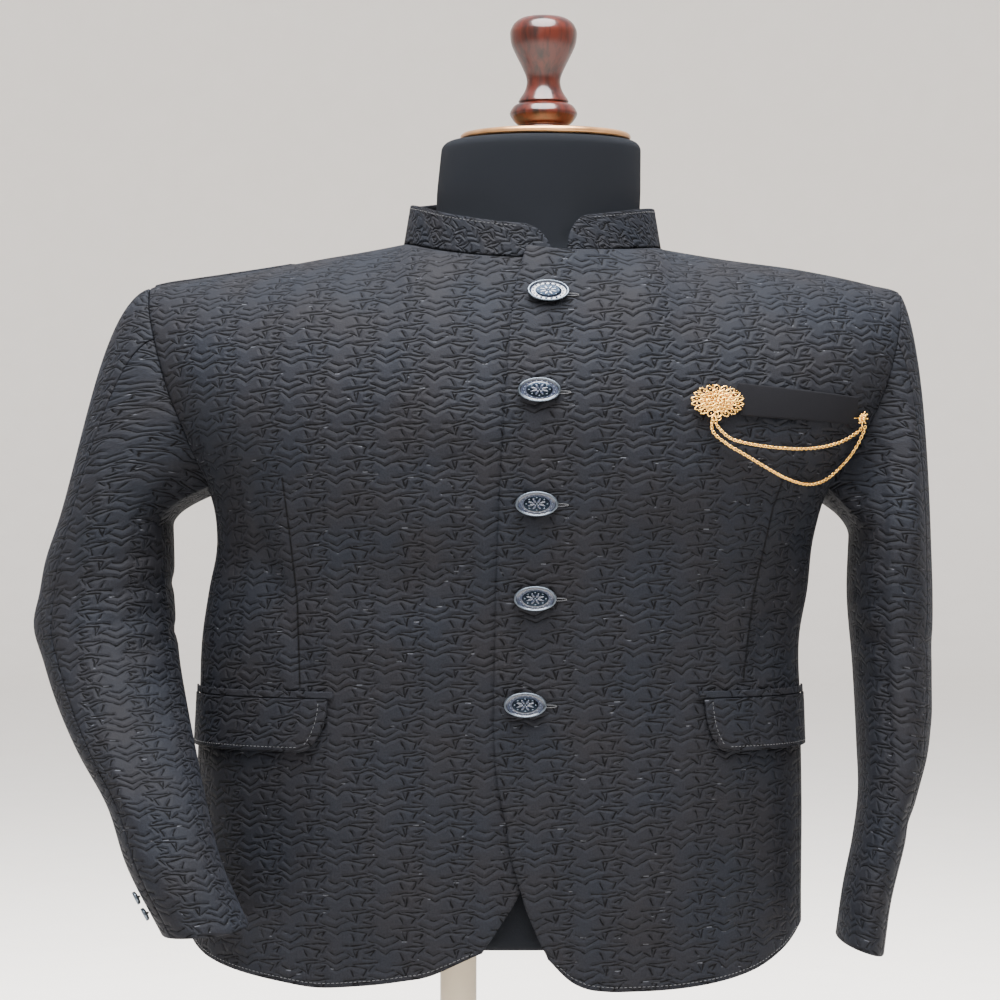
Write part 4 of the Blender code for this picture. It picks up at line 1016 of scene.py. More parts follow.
def silver_material(name="antique silver plate", low="#0b0d10", high="#535a63"):
    """Die-cast zinc alloy with an antique silver plate: bright on the high parts, grey in the low ones."""
    found = bpy.data.materials.get(name)
    if found:
        return found
    made, tree = new_material(name)
    place = add(tree, "ShaderNodeTexCoord", {}, "Object")
    wear = add(tree, "ShaderNodeTexNoise", {"Vector": place, "Scale": 420.0, "Detail": 3.0})
    raised = add(tree, "ShaderNodeNewGeometry", {}, "Pointiness")
    worn = add(tree, "ShaderNodeMapRange", {0: raised, 1: 0.44, 2: 0.56, 3: 0.0, 4: 1.0})
    worn = add(tree, "ShaderNodeMath", {0: worn, 1: wear}, operation="ADD")
    worn = add(tree, "ShaderNodeMapRange", {0: worn, 1: 0.6, 2: 1.4, 3: 0.0, 4: 1.0})
    colour = add(tree, "ShaderNodeMix", {0: worn, 6: linear(low), 7: linear(high)}, 2,
                 data_type="RGBA")
    rough = add(tree, "ShaderNodeMapRange", {0: wear, 1: 0.3, 2: 0.7, 3: 0.22, 4: 0.42})
    bump = add(tree, "ShaderNodeBump", {"Strength": 0.25, "Distance": 0.0001, "Height": wear})
    finish_material(tree, {"Base Color": colour, "Metallic": 1.0, "Roughness": rough, "Normal": bump})
    return made


def button_finishes():
    """Bright plate, dark enamel, and the blued plate of the button's middle."""
    return [silver_material(), enamel_material(), silver_material("blued silver plate", "#07090d", "#1e252e")]


def enamel_material():
    """Soft enamel fired into the low parts of the buttons: blue-black, with a wet gloss."""
    found = bpy.data.materials.get("blue-black enamel")
    if found:
        return found
    made, tree = new_material("blue-black enamel")
    place = add(tree, "ShaderNodeTexCoord", {}, "Object")
    pool = add(tree, "ShaderNodeTexNoise", {"Vector": place, "Scale": 700.0, "Detail": 2.0})
    colour = add(tree, "ShaderNodeMix", {0: pool, 6: linear("#0a0f1a"), 7: linear("#1b2740")}, 2,
                 data_type="RGBA")
    finish_material(tree, {"Base Color": colour, "Roughness": 0.22, "Coat Weight": 0.6, "Coat Roughness": 0.08})
    return made


def gilt_material():
    """Stamped and soldered brass with a pale gold plate, with painted shade that makes it darker and redder in its
    hollows.
    """
    found = bpy.data.materials.get("pale gold plate")
    if found:
        return found
    made, tree = new_material("pale gold plate")
    place = add(tree, "ShaderNodeTexCoord", {}, "Object")
    grain = add(tree, "ShaderNodeTexNoise", {"Vector": place, "Scale": 900.0, "Detail": 2.0})
    high = add(tree, "ShaderNodeNewGeometry", {}, "Pointiness")
    # painted shade: the hollows, found by pointiness, take the darker, redder gold and the raised parts take the paler
    # one
    bright = add(tree, "ShaderNodeMapRange", {0: high, 1: 0.42, 2: 0.58, 3: 0.0, 4: 1.0})
    colour = add(tree, "ShaderNodeMix", {0: bright, 6: linear("#a05f14"), 7: linear("#f3c266")}, 2,
                 data_type="RGBA")
    rough = add(tree, "ShaderNodeMapRange", {0: grain, 1: 0.3, 2: 0.7, 3: 0.16, 4: 0.34})
    finish_material(tree, {"Base Color": colour, "Metallic": 1.0, "Roughness": rough})
    return made


def wood_material():
    """Turned hardwood, stained red-brown and varnished: dark streaks under a clear gloss coat."""
    made, tree = new_material("varnished turned wood")
    place = add(tree, "ShaderNodeTexCoord", {}, "Object")
    drawn = add(tree, "ShaderNodeMapping", {"Vector": place, "Scale": (1.0, 1.0, 0.10)})
    grain = add(tree, "ShaderNodeTexNoise", {"Vector": drawn, "Scale": 260.0, "Detail": 5.0, "Distortion": 0.6})
    figure = add(tree, "ShaderNodeTexNoise", {"Vector": drawn, "Scale": 45.0, "Detail": 2.0})
    streak = add(tree, "ShaderNodeMath", {0: grain, 1: figure}, operation="MULTIPLY")
    streak = add(tree, "ShaderNodeMapRange", {0: streak, 1: 0.16, 2: 0.34, 3: 0.0, 4: 1.0})
    colour = add(tree, "ShaderNodeMix", {0: streak, 6: linear("#120402"), 7: linear("#3c1208")}, 2,
                 data_type="RGBA")
    finish_material(tree, {"Base Color": colour, "Roughness": 0.3, "Specular IOR Level": 0.2, "Coat Weight": 0.35, "Coat Roughness": 0.05})
    return made


def brass_material():
    """Spun brass sheet, dulled and warm, with fine rings left by the tool."""
    made, tree = new_material("dull brass")
    place = add(tree, "ShaderNodeTexCoord", {}, "Object")
    centred = add(tree, "ShaderNodeMapping", {"Vector": place, "Location": (-DISC_X * MM, 0, 0)})
    rings = add(tree, "ShaderNodeTexWave", {"Vector": centred, "Scale": 160.0, "Distortion": 0.3}, 1,
                wave_type="RINGS", rings_direction="Z")
    tarnish = add(tree, "ShaderNodeTexNoise", {"Vector": place, "Scale": 60.0, "Detail": 4.0})
    colour = add(tree, "ShaderNodeMix", {0: tarnish, 6: linear("#8a5f3c"), 7: linear("#c79a6b")}, 2,
                 data_type="RGBA")
    rough = add(tree, "ShaderNodeMapRange", {0: tarnish, 1: 0.3, 2: 0.7, 3: 0.28, 4: 0.5})
    bump = add(tree, "ShaderNodeBump", {"Strength": 0.15, "Distance": 0.0001, "Height": rings})
    finish_material(tree, {"Base Color": colour, "Metallic": 0.85, "Roughness": rough, "Normal": bump})
    return made


def paint_material():
    """Cream powder coat on steel: a satin skin with a faint orange peel."""
    made, tree = new_material("cream powder coat")
    place = add(tree, "ShaderNodeTexCoord", {}, "Object")
    peel = add(tree, "ShaderNodeTexNoise", {"Vector": place, "Scale": 900.0, "Detail": 1.0})
    dust = add(tree, "ShaderNodeTexNoise", {"Vector": place, "Scale": 22.0, "Detail": 3.0})
    colour = add(tree, "ShaderNodeMix", {0: dust, 6: linear("#b9aa93"), 7: linear("#d8ccb8")}, 2,
                 data_type="RGBA")
    bump = add(tree, "ShaderNodeBump", {"Strength": 0.2, "Distance": 0.0002, "Height": peel})
    finish_material(tree, {"Base Color": colour, "Roughness": 0.42, "Normal": bump})
    return made


def add_piece(name, bm, finishes, nodes=()):
    """Put a bmesh in millimetres into the scene as a piece in metres, riding on the one body."""
    for vertex in bm.verts:
        vertex.co *= MM
    mesh = bpy.data.meshes.new(name)
    bm.to_mesh(mesh)
    bm.free()
    for finish in finishes:
        mesh.materials.append(finish)
    mesh.shade_smooth()
    made = bpy.data.objects.new(name, mesh)
    bpy.context.scene.collection.objects.link(made)
    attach(made, "root")
    if nodes:
        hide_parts(*nodes)
    return made


def samples(count, fine):
    """Even steps from 0 to count, with one more just inside each end for the rounded edge."""
    steps = [i / fine for i in range(count * fine + 1)]
    return [0.0, EDGE_STEP] + steps[1:-1] + [count - EDGE_STEP, float(count)]


def surface(across, up, place, inside, eased=None):
    """Points of a surface and its outward directions, as arrays, with a bend at one column eased."""
    points = np.array([[place(k, row) for row in up] for k in across])
    if eased is not None:
        reach = [i for i, k in enumerate(across) if abs(k - eased) < 1.9]
        for _ in range(EASE_PASSES):
            middle = points[reach[0]:reach[-1] + 1, :, 1]
            before, after = points[reach[0] - 1:reach[-1], :, 1], points[reach[0] + 1:reach[-1] + 2, :, 1]
            points[reach[0]:reach[-1] + 1, :, 1] = (before + 2 * middle + after) / 4
    along = np.gradient(points, axis=0)
    rising = np.gradient(points, axis=1)
    normals = np.cross(along, rising)
    normals /= np.linalg.norm(normals, axis=2, keepdims=True)
    core = np.array([[inside(Vector(point)) for point in column] for column in points[::6, ::6]])
    if ((points[::6, ::6] - core) * normals[::6, ::6]).sum() < 0:
        normals = -normals
    return points, normals


def panel_map(points, normals, start, side):
    """Cloth coordinates of a body panel: arc lengths round the body, and up it."""
    level = np.linalg.norm(np.diff(points[:, :, :2], axis=0), axis=2)
    u = np.zeros(points.shape[:2])
    u[1:] = np.cumsum(level, axis=0)
    rise = np.diff(points[:, :, 2], axis=1)
    lean = (normals[:, 1:, 2] + normals[:, :-1, 2]) / 2
    v = np.zeros(points.shape[:2])
    v[:, 1:] = np.cumsum(rise / np.sqrt(np.maximum(1 - lean ** 2, 0.05)), axis=1)
    return np.stack([start + side * u, points[:, :1, 2] + v], axis=2)


def tube_map(points):
    """Cloth coordinates of a sleeve piece: arc length round it, and mean length along it."""
    u = np.zeros(points.shape[:2])
    u[1:] = np.cumsum(np.linalg.norm(np.diff(points, axis=0), axis=2), axis=0)
    u -= u[-1:] / 2
    v = np.zeros(points.shape[:2])
    steps = np.linalg.norm(np.diff(points, axis=1), axis=2)
    v[:, :-1] = np.cumsum(steps[:, ::-1], axis=1)[:, ::-1]
    return np.stack([u, v], axis=2)


def cloth_wall(points, normals, mapping, thick, round_edge=EDGE_ROUND):
    """A closed wall with rounded edges from a grid of outer points, with its cloth coordinates."""
    columns, rows = points.shape[0] - 1, points.shape[1] - 1
    outer, inner = points.copy(), points - normals * thick
    edge = np.zeros(points.shape[:2], bool)
    edge[[0, -1]] = True
    edge[:, [0, -1]] = True
    outer[edge] -= normals[edge] * round_edge
    inner[edge] += normals[edge] * round_edge
    bm = bmesh.new()
    bmesh.ops.create_grid(bm, x_segments=columns, y_segments=rows, size=0.5)
    tag = bm.verts.layers.int.new("grid")
    for vertex in bm.verts:
        column = round((vertex.co.x + 0.5) * columns)
        row = round((vertex.co.y + 0.5) * rows)
        vertex[tag] = column * (rows + 1) + row
        vertex.co = outer[column, row]
    extruded = bmesh.ops.extrude_face_region(bm, geom=bm.faces[:], use_keep_orig=True)
    for item in extruded["geom"]:
        if isinstance(item, bmesh.types.BMVert):
            item.co = inner[divmod(item[tag], rows + 1)]
    bmesh.ops.recalc_face_normals(bm, faces=bm.faces[:])
    layer = bm.loops.layers.uv.new("UVMap")
    for face in bm.faces:
        for loop in face.loops:
            loop[layer].uv = mapping[divmod(loop.vert[tag], rows + 1)] * MM
    bm.verts.layers.int.remove(tag)
    return bm


def ridge(across, along, length, wide):
    """A soft ridge's share at a distance across it, and along it from its start."""
    ends = smooth(along / (wide * 1.6)) * smooth((length - along) / (wide * 1.6))
    return math.exp(-(across / wide) ** 2) * ends


def body_fold(point):
    """Height of the folds at a point of the body."""
    face = FRONT if point[1] < NECK_Y else BACK
    height = 0.0
    for row_face, x0, z0, x1, z1, wide, high in BODY_FOLDS:
        if row_face != face:
            continue
        run = Vector((x1 - x0, z1 - z0))
        away = Vector((point[0] - x0, point[2] - z0))
        along = away.dot(run) / run.length
        if -wide < along < run.length + wide:
            height += high * ridge(away.cross(run) / run.length, along, run.length, wide)
    return height * bpy.context.scene.jacket_cloth.folds


def sleeve_fold(side, point):
    """Height of the folds at a point of a sleeve."""
    centre_x, centre_y, half_x, half_y, _ = sleeve_section(side, point[2])
    turn = math.degrees(math.atan2(-(point[1] - centre_y) / half_y, -side * (point[0] - centre_x) / half_x)) % 360
    height = 0.0
    for turn0, z0, turn1, z1, wide, high in SLEEVE_FOLDS[side]:
        reach = (half_x + half_y) / 2 * math.pi / 180
        step = ((turn1 - turn0 + 180) % 360 - 180) * reach
        run = Vector((step, z1 - z0))
        away = Vector((((turn - turn0 + 180) % 360 - 180) * reach, point[2] - z0))
        along = away.dot(run) / run.length
        if -wide < along < run.length + wide:
            height += high * ridge(away.cross(run) / run.length, along, run.length, wide)
    return height * bpy.context.scene.jacket_cloth.folds


def folded(points, normals, fold):
    """The points moved out along their normals by the height of the folds there."""
    lift = np.array([[fold(point) for point in column] for column in points])
    return points + normals * lift[:, :, None]


def stitch_row(bm, points, normals, pitch, length, wide):
    """Short round-ended stitches along a run of points, lying just proud of the cloth."""
    points = np.array(points)
    normals = np.array(normals)
    gone = np.concatenate([[0], np.cumsum(np.linalg.norm(np.diff(points, axis=0), axis=1))])
    for at in np.arange(pitch, gone[-1] - pitch / 2, pitch):
        ends = [np.array([np.interp(at + d, gone, points[:, c]) for c in range(3)]) for d in (-length / 2, length / 2)]
        normal = Vector([np.interp(at, gone, normals[:, c]) for c in range(3)]).normalized()
        run = Vector(ends[1] - ends[0])
        if run.length < length * 0.3:
            continue
        x = run.normalized()
        y = normal.cross(x).normalized()
        turn = Matrix((x, y, x.cross(y))).transposed().to_4x4()
        middle = Matrix.Translation(Vector((ends[0] + ends[1]) / 2) + normal * wide * 0.2)
        scale = Matrix.Diagonal((length, wide, wide * 0.8, 1))
        made = bmesh.ops.create_icosphere(bm, subdivisions=1, radius=0.5, matrix=middle @ turn @ scale)
        del made


def surface_normal(place, k, row, inside):
    """Outward direction of a surface function at one place."""
    step = 0.08
    across = place(k + step, row) - place(k - step, row)
    up = place(k, row + step) - place(k, row - step)
    normal = across.cross(up).normalized()
    point = place(k, row)
    return normal if normal.dot(point - inside(point)) > 0 else -normal


def build_panels(face, sides=(LEFT, RIGHT)):
    """The two fronts or the two backs."""
    name = "front" if face == FRONT else "back"
    for side in sides:
        def place(k, row):
            return panel_point(k, row, side, face)
        across = samples(panel_columns(face), FINE_ACROSS)
        up = samples(LOW_ROWS + HIGH_ROWS, FINE_UP)
        points, normals = surface(across, up, place, body_axis, NECK_STEPS[face])
        seam = [i for i, k in enumerate(across) if k >= NECK_STEPS[face]]
        normals[seam, -1, 1] = 0
        normals[seam, -1] /= np.linalg.norm(normals[seam, -1], axis=1, keepdims=True)
        mapping = panel_map(points, normals, points[0, :, 0] - NECK_X if face == FRONT else 0.0, side)
        points = folded(points, normals, body_fold)
        bm = cloth_wall(points, normals, mapping, WALL)
        node = "%s_%s" % (name, side_name(side))
        piece = add_piece("jacket_" + node, bm, [jacquard()], [node])


def build_side_bodies():
    """The panel under each arm."""
    for side in (LEFT, RIGHT):
        def place(k, row):
            return side_point(k, row, side)
        points, normals = surface(samples(SIDE_STEPS, 6), samples(LOW_ROWS, FINE_UP), place, body_axis)
        mapping = panel_map(points, normals, side * 300.0, side)
        points = folded(points, normals, body_fold)
        node = "side_body_" + side_name(side)
        piece = add_piece("jacket_" + node, cloth_wall(points, normals, mapping, WALL), [jacquard()], [node])


def build_sleeves():
    """The top and under sleeve of each arm."""
    rows = SLEEVE_HEAD_ROWS + SLEEVE_BODY_ROWS
    spans = {"top": (SLEEVE_FRONT_SEAM, SLEEVE_BACK_SEAM - SLEEVE_FRONT_SEAM),
             "under": (SLEEVE_BACK_SEAM, SLEEVE_FRONT_SEAM + SLEEVE_COLUMNS_ROUND - SLEEVE_BACK_SEAM)}
    for side in (LEFT, RIGHT):
        point, rim = sleeve_maker(side)

        def middle(where):
            section = sleeve_section(side, where.z)
            return Vector((section[0], section[1], where.z))

        for name, (start, steps) in spans.items():
            def column_at(k):
                return start + SLEEVE_TRIM + (steps - 2 * SLEEVE_TRIM) * k / steps

            across = samples(steps, 4)
            points, normals = surface(across, samples(rows, 5), lambda k, row: point(column_at(k), row), middle)
            normals[:, 0] = [rim(column_at(k)) for k in across]
            mapping = tube_map(points)
            points = folded(points, normals, lambda where: sleeve_fold(side, where))
            node = "%s_sleeve_%s" % (name, side_name(side))
            bm = cloth_wall(points, normals, mapping, WALL)
            piece = add_piece("jacket_" + node, bm, [jacquard()], [node])


def build_collar():
    """The stand collar, cut on the bias, so that its chevrons run aslant."""
    columns, rows = 38, 3

    def place(k, row):
        return collar_point(k / columns, row / rows)

    points, normals = surface(samples(columns, 5), samples(rows, 5), place,
                              lambda where: Vector((NECK_X, NECK_Y, where.z)))
    u = np.zeros(points.shape[:2])
    u[1:] = np.cumsum(np.linalg.norm(np.diff(points, axis=0), axis=2), axis=0)
    v = np.broadcast_to(points[:1, :, 2] - points[0, 0, 2], u.shape)
    slant = math.radians(-24)
    mapping = 1.55 * np.stack([u * math.cos(slant) + v * math.sin(slant), v * math.cos(slant) - u * math.sin(slant)],
                              axis=2)
    bm = cloth_wall(points, normals, mapping, COLLAR_WALL, 0.8)
    piece = add_piece("jacket_collar", bm, [jacquard()], ["collar"])


def build_pockets():
    """Hip flaps under their jets, and the dark breast welt."""
    columns, rows = 10, 4
    for side in (LEFT, RIGHT):
        def flap(k, row):
            share, drop = k / columns, 1 - min(max(row / rows, 0), 1)
            corner = FLAP_CORNER * (1 - math.sqrt(1 - drop ** 2)) * (1 - share)
            return flap_point(side, share + corner, drop, LAY + FLAP_THICK + 0.6 * drop)

        def jet(k, row):
            start, end = FLAP_SPAN[side]
            angle = start + (end - start) * (-0.02 + 1.02 * k / columns)
            return body_point(side * angle, FLAP_TOP + JET_GAP + JET_HEIGHT * row, LAY + JET_THICK)

        for name, place, count, thick in (("pocket_flap_", flap, rows, FLAP_THICK), ("pocket_jet_", jet, 1, JET_THICK)):
            points, normals = surface(samples(columns, 6), samples(count, 6), place, body_axis)
            mapping = panel_map(points, normals, side * 60.0, side)
            node = name + side_name(side)
            bm = cloth_wall(points, normals, mapping, thick, 0.6)
            piece = add_piece("jacket_" + node, bm, [jacquard()], [node])

    def welt(k, row):
        x = WELT[0][0] + (WELT[1][0] - WELT[0][0]) * k / 7
        low, high = (line(WELT_COLUMNS, WELT, name, x) for name in ("low", "high"))
        return front_cloth(x, low + (high - low) * row / 2, LEFT, LAY + WELT_THICK)

    points, normals = surface(samples(7, 8), samples(2, 8), welt, body_axis)
    mapping = panel_map(points, normals, 0.0, LEFT)
    bm = cloth_wall(points, normals, mapping, WELT_THICK, 0.6)
    piece = add_piece("jacket_breast_welt", bm, [plain_cloth("welt twill", "#0f0f12", 0.5, 0.01)],
                      ["breast_welt"])


def edge_run(place, inside, fixed, span, along_rows, count, lift=0.0):
    """Points and normals of a surface along one column or one row."""
    points, normals = [], []
    for step in range(count + 1):
        free = span[0] + (span[1] - span[0]) * step / count
        k, row = (fixed, free) if along_rows else (free, fixed)
        normal = surface_normal(place, k, row, inside)
        point = place(k, row)
        lifted = body_fold(point) + lift
        points.append(point + normal * lifted)
        normals.append(normal)
    return points, normals


def build_stitching():
    """Edge stitching along the hems of the fronts and backs, the flaps and the collar."""
    thread = thread_material()
    pitch, length, wide = 3.4, 2.5, 0.55
    bm = bmesh.new()
    for side in (LEFT, RIGHT):
        for face in (FRONT, BACK):
            def place(k, row):
                return panel_point(k, row, side, face)
            stitch_row(bm, *edge_run(place, body_axis, 0.30, (0.2, panel_columns(face) - 0.1), False, 160), pitch,
                       length, wide)

        def flap(k, row):
            share, drop = k / 10, 1 - min(max(row / 4, 0), 1)
            corner = FLAP_CORNER * (1 - math.sqrt(1 - drop ** 2)) * (1 - share)
            return flap_point(side, share + corner, drop, LAY + FLAP_THICK + 0.6 * drop)

        stitch_row(bm, *edge_run(flap, body_axis, 0.35, (0.4, 9.8), False, 60), pitch, length, wide)
        stitch_row(bm, *edge_run(flap, body_axis, 0.32, (0.4, 3.9), True, 30), pitch, length, wide)

    def collar(k, row):
        return collar_point(k / 38, row / 3)

    axis = functools.partial(lambda where: Vector((NECK_X, NECK_Y, where.z)))
    stitch_row(bm, *edge_run(collar, axis, 2.72, (0.8, 37.3), False, 260), pitch, length, wide)
    add_piece("edge_stitching", bm, [thread])


def spin_profile(bm, profile, steps, centre=(0.0, 0.0)):
    """Turn a profile of radius and height round an upright axis, and close its poles."""
    verts = [bm.verts.new((radius, 0, height)) for radius, height in profile]
    edges = [bm.edges.new(pair) for pair in zip(verts, verts[1:])]
    bmesh.ops.spin(bm, geom=verts + edges, axis=(0, 0, 1), cent=(0, 0, 0), steps=steps, angle=2 * math.pi,
                   use_merge=True)
    bmesh.ops.remove_doubles(bm, verts=bm.verts[:], dist=0.001)
    bmesh.ops.translate(bm, verts=bm.verts[:], vec=(*centre, 0))
    bmesh.ops.recalc_face_normals(bm, faces=bm.faces[:])


def rounded(profile, per=4):
    """A smooth curve through a profile's points."""
    points = [profile[0]] + list(profile) + [profile[-1]]
    out = []
    for a, b, c, d in zip(points, points[1:], points[2:], points[3:]):
        for step in range(per):
            t = step / per
            out.append(tuple(0.5 * (2 * b[i] + (c[i] - a[i]) * t + (2 * a[i] - 5 * b[i] + 4 * c[i] - d[i]) * t * t
                                    + (3 * b[i] - a[i] - 3 * c[i] + d[i]) * t ** 3) for i in (0, 1)))
    out.append(tuple(profile[-1]))
    return [(max(radius, 0.0), height) for radius, height in out]


def ellipse_bump(bm, place, size, index):
    """A low round bead or petal with its own material."""
    made = bmesh.ops.create_uvsphere(bm, u_segments=8, v_segments=5, radius=0.5, matrix=place @ Matrix.Diagonal((*size, 1)))
    for face in {face for vertex in made["verts"] for face in vertex.link_faces}:
        face.material_index = index


def button_mesh(wide, high, thick, detailed=True):
    """A shank button lying in its own XY plane, its back at zero."""
    bm = bmesh.new()
    profile = [(radius, height) for radius, height in BUTTON_FACE]
    spin_profile(bm, profile + [(0.16, -0.4), (0.0, -0.4)], 48 if detailed else 24)
    bmesh.ops.scale(bm, vec=(0.5, 0.5, thick), verts=bm.verts[:])
    field = [face for face in bm.faces
             if 0.30 < math.hypot(*face.calc_center_median().xy) < 0.43 and face.calc_center_median().z > thick * 0.5]
    for face in field:
        face.material_index = 1
    for face in bm.faces:
        middle = face.calc_center_median()
        if math.hypot(*middle.xy) < 0.30 and middle.z > thick * 0.5:
            face.material_index = 2
    if detailed:
        for number in range(BUTTON_BEADS):
            turn = Matrix.Rotation(2 * math.pi * number / BUTTON_BEADS, 4, "Z")
            ellipse_bump(bm, turn @ Matrix.Translation((0.362, 0, thick * 0.76)), (0.034, 0.068, thick * 0.22), 0)
        for number in range(BUTTON_PETALS):
            turn = Matrix.Rotation(2 * math.pi * (number + 0.5) / BUTTON_PETALS, 4, "Z")
            ellipse_bump(bm, turn @ Matrix.Translation((0.135, 0, thick * 0.87)), (0.21, 0.066, thick * 0.14), 1)
            leaf = Matrix.Rotation(2 * math.pi * number / BUTTON_PETALS, 4, "Z")
            ellipse_bump(bm, leaf @ Matrix.Translation((0.245, 0, thick * 0.83)), (0.05, 0.05, thick * 0.16), 0)
        ellipse_bump(bm, Matrix.Translation((0, 0, thick * 0.92)), (0.05, 0.05, thick * 0.2), 0)
    bmesh.ops.scale(bm, vec=(wide, high, 1), verts=bm.verts[:])
    bmesh.ops.translate(bm, vec=(0, 0, BUTTON_STAND), verts=bm.verts[:])
    return bm


def on_front(x, z, out):
    """A point on the folded cloth of the left front."""
    return front_cloth(x, z, LEFT, out + body_fold(front_cloth(x, z, LEFT)))


def build_front_buttons():
    """The five oval shank buttons down the front, and the buttonholes that they sit in."""
    for number, (x, z) in enumerate(BUTTONS, start=1):
        bm = button_mesh(BUTTON_WIDE, BUTTON_HIGH, BUTTON_THICK)
        bm.transform(facing(front_cloth(x, z, LEFT), cloth_normal(x, z, LEFT, FRONT)))
        add_piece("silver_front_button_%d" % number, bm, button_finishes(),
                  ["front_button_%d" % number])
    bm = bmesh.new()
    for x, z in BUTTONS:
        for edge in (-0.9, 0.9):
            points = [on_front(x + 10 + 13.5 * step / 12, z - 1 + edge * math.sin(math.pi * step / 12) ** 0.5, 0.25)
                      for step in range(13)]
            normals = [cloth_normal(point.x, point.z, LEFT, FRONT) for point in points]
            stitch_row(bm, points, normals, 0.8, 1.3, 0.8)
    add_piece("buttonhole_thread", bm, [thread_material()])


def build_cuff_buttons():
    """Two small shank buttons at each cuff."""
    for side in (LEFT, RIGHT):
        for number, height in enumerate(CUFF_BUTTON_HEIGHTS, start=1):
            cuff = SLEEVES[side][0][0] + height
            turn = CUFF_BUTTON_TURN[side]
            point = section_point(side, turn, cuff)
            around = section_point(side, turn + 0.1, cuff) - section_point(side, turn - 0.1, cuff)
            above = section_point(side, turn, cuff + 5) - section_point(side, turn, cuff - 5)
            normal = around.cross(above).normalized()
            centre = sleeve_section(side, cuff)
            if normal.dot(point - Vector((centre[0], centre[1], cuff))) < 0:
                normal = -normal
            bm = button_mesh(CUFF_BUTTON_WIDE, CUFF_BUTTON_WIDE, CUFF_BUTTON_THICK)
            bm.transform(facing(point + normal * CUFF_BUTTON_CLEAR[side], normal))
            node = "cuff_button_%s_%d" % (side_name(side), number)
            add_piece("silver_" + node, bm, button_finishes(), [node])


def wire_ring(bm, place, long, wide, wire, point=0.0, steps=14, sides=6):
    """A loop of round wire, long along its own X, drawn to a point at its far end by a share."""
    made = bmesh.ops.create_circle(bm, segments=sides, radius=wire, matrix=Matrix.Translation((1, 0, 0))
                                   @ Matrix.Rotation(math.pi / 2, 4, "X"))
    edges = list({edge for vertex in made["verts"] for edge in vertex.link_edges})
    before = set(bm.verts) - set(made["verts"])
    bmesh.ops.spin(bm, geom=made["verts"] + edges, axis=(0, 0, 1), cent=(0, 0, 0), steps=steps, angle=2 * math.pi,
                   use_merge=True)
    ring_verts = [vertex for vertex in bm.verts if vertex not in before]
    bmesh.ops.remove_doubles(bm, verts=ring_verts, dist=0.0001)
    ring_verts = [vertex for vertex in bm.verts if vertex not in before]
    for vertex in ring_verts:
        angle = math.atan2(vertex.co.y, vertex.co.x)
        out = math.hypot(vertex.co.x, vertex.co.y) - 1
        reach_x, reach_y = math.cos(angle), math.sin(angle) * (1 - point * max(math.cos(angle), 0) ** 2)
        vertex.co = Vector((reach_x * long / 2 + out * math.cos(angle), reach_y * wide / 2 + out * math.sin(angle),
                            vertex.co.z))
    bmesh.ops.transform(bm, matrix=place, verts=ring_verts)


def rosette(bm, wide, high, petals, thick):
    """A filigree sunburst lying in its own XY plane: rings of wire loops and grains over a thin disc."""
    squeeze = high / wide
    half = wide / 2
    spin_profile(bm, [(0, 0.7), (half * 0.30, 0.65), (half * 0.58, 0.45), (half * 0.62, 0.25), (half * 0.58, 0.0), (0, 0)], 40)
    rings = ((0.78, 0.42, petals, 0.72, 0.55), (0.54, 0.34, petals * 3 // 4, 1.3, 0.45),
             (0.30, 0.30, petals // 2, 2.0, 0.3))
    for radius, long, count, lift, point in rings:
        pitch = 2 * math.pi * radius / count
        for number in range(count):
            turn = Matrix.Rotation(2 * math.pi * (number + 0.5) / count, 4, "Z")
            place = turn @ Matrix.Translation((half * radius, 0, lift * thick / 3))
            wire_ring(bm, place, half * long, half * pitch * 0.92, half * 0.034, point)
            bead = half * (0.075 if radius > 0.5 else 0.06)
            ellipse_bump(bm, place, (bead * 1.4, bead, bead), 0)
            if point:
                ellipse_bump(bm, turn @ Matrix.Translation((half * 0.965, 0, lift * thick / 3)),
                             (bead * 0.9, bead * 0.7, bead * 0.8), 0)
    for number in range(10):
        turn = Matrix.Rotation(2 * math.pi * number / 10, 4, "Z")
        ellipse_bump(bm, turn @ Matrix.Translation((half * 0.13, 0, thick * 0.62)), (half * 0.07,) * 3, 0)
    ellipse_bump(bm, Matrix.Translation((0, 0, thick * 0.66)), (half * 0.16, half * 0.16, half * 0.12), 0)
    bmesh.ops.scale(bm, vec=(1, squeeze, 1), verts=bm.verts[:])


def flower(bm, wide, high, petals, thick):
    """A small flower lying in its own XY plane: a bead, petals tipped with grains, and its pin."""
    half = wide / 2
    ellipse_bump(bm, Matrix.Translation((0, 0, thick * 0.6)), (half * 0.62, half * 0.62, thick * 0.7), 0)
    for number in range(petals):
        turn = Matrix.Rotation(2 * math.pi * number / petals, 4, "Z")
        ellipse_bump(bm, turn @ Matrix.Translation((half * 0.55, 0, thick * 0.4)), (half * 0.6, half * 0.32, thick * 0.5), 0)
        ellipse_bump(bm, turn @ Matrix.Translation((half * 0.9, 0, thick * 0.45)), (half * 0.26,) * 3, 0)
    spin_profile(bm, [(0, thick * 0.3), (half * 0.7, thick * 0.3), (half * 0.7, 0), (0, 0)], 16)
    bmesh.ops.scale(bm, vec=(1, high / wide, 1), verts=bm.verts[:])
    ellipse_bump(bm, Matrix.Translation((-half * 1.2, 0, 0.6)), (half * 1.6, 0.7, 0.7), 0)


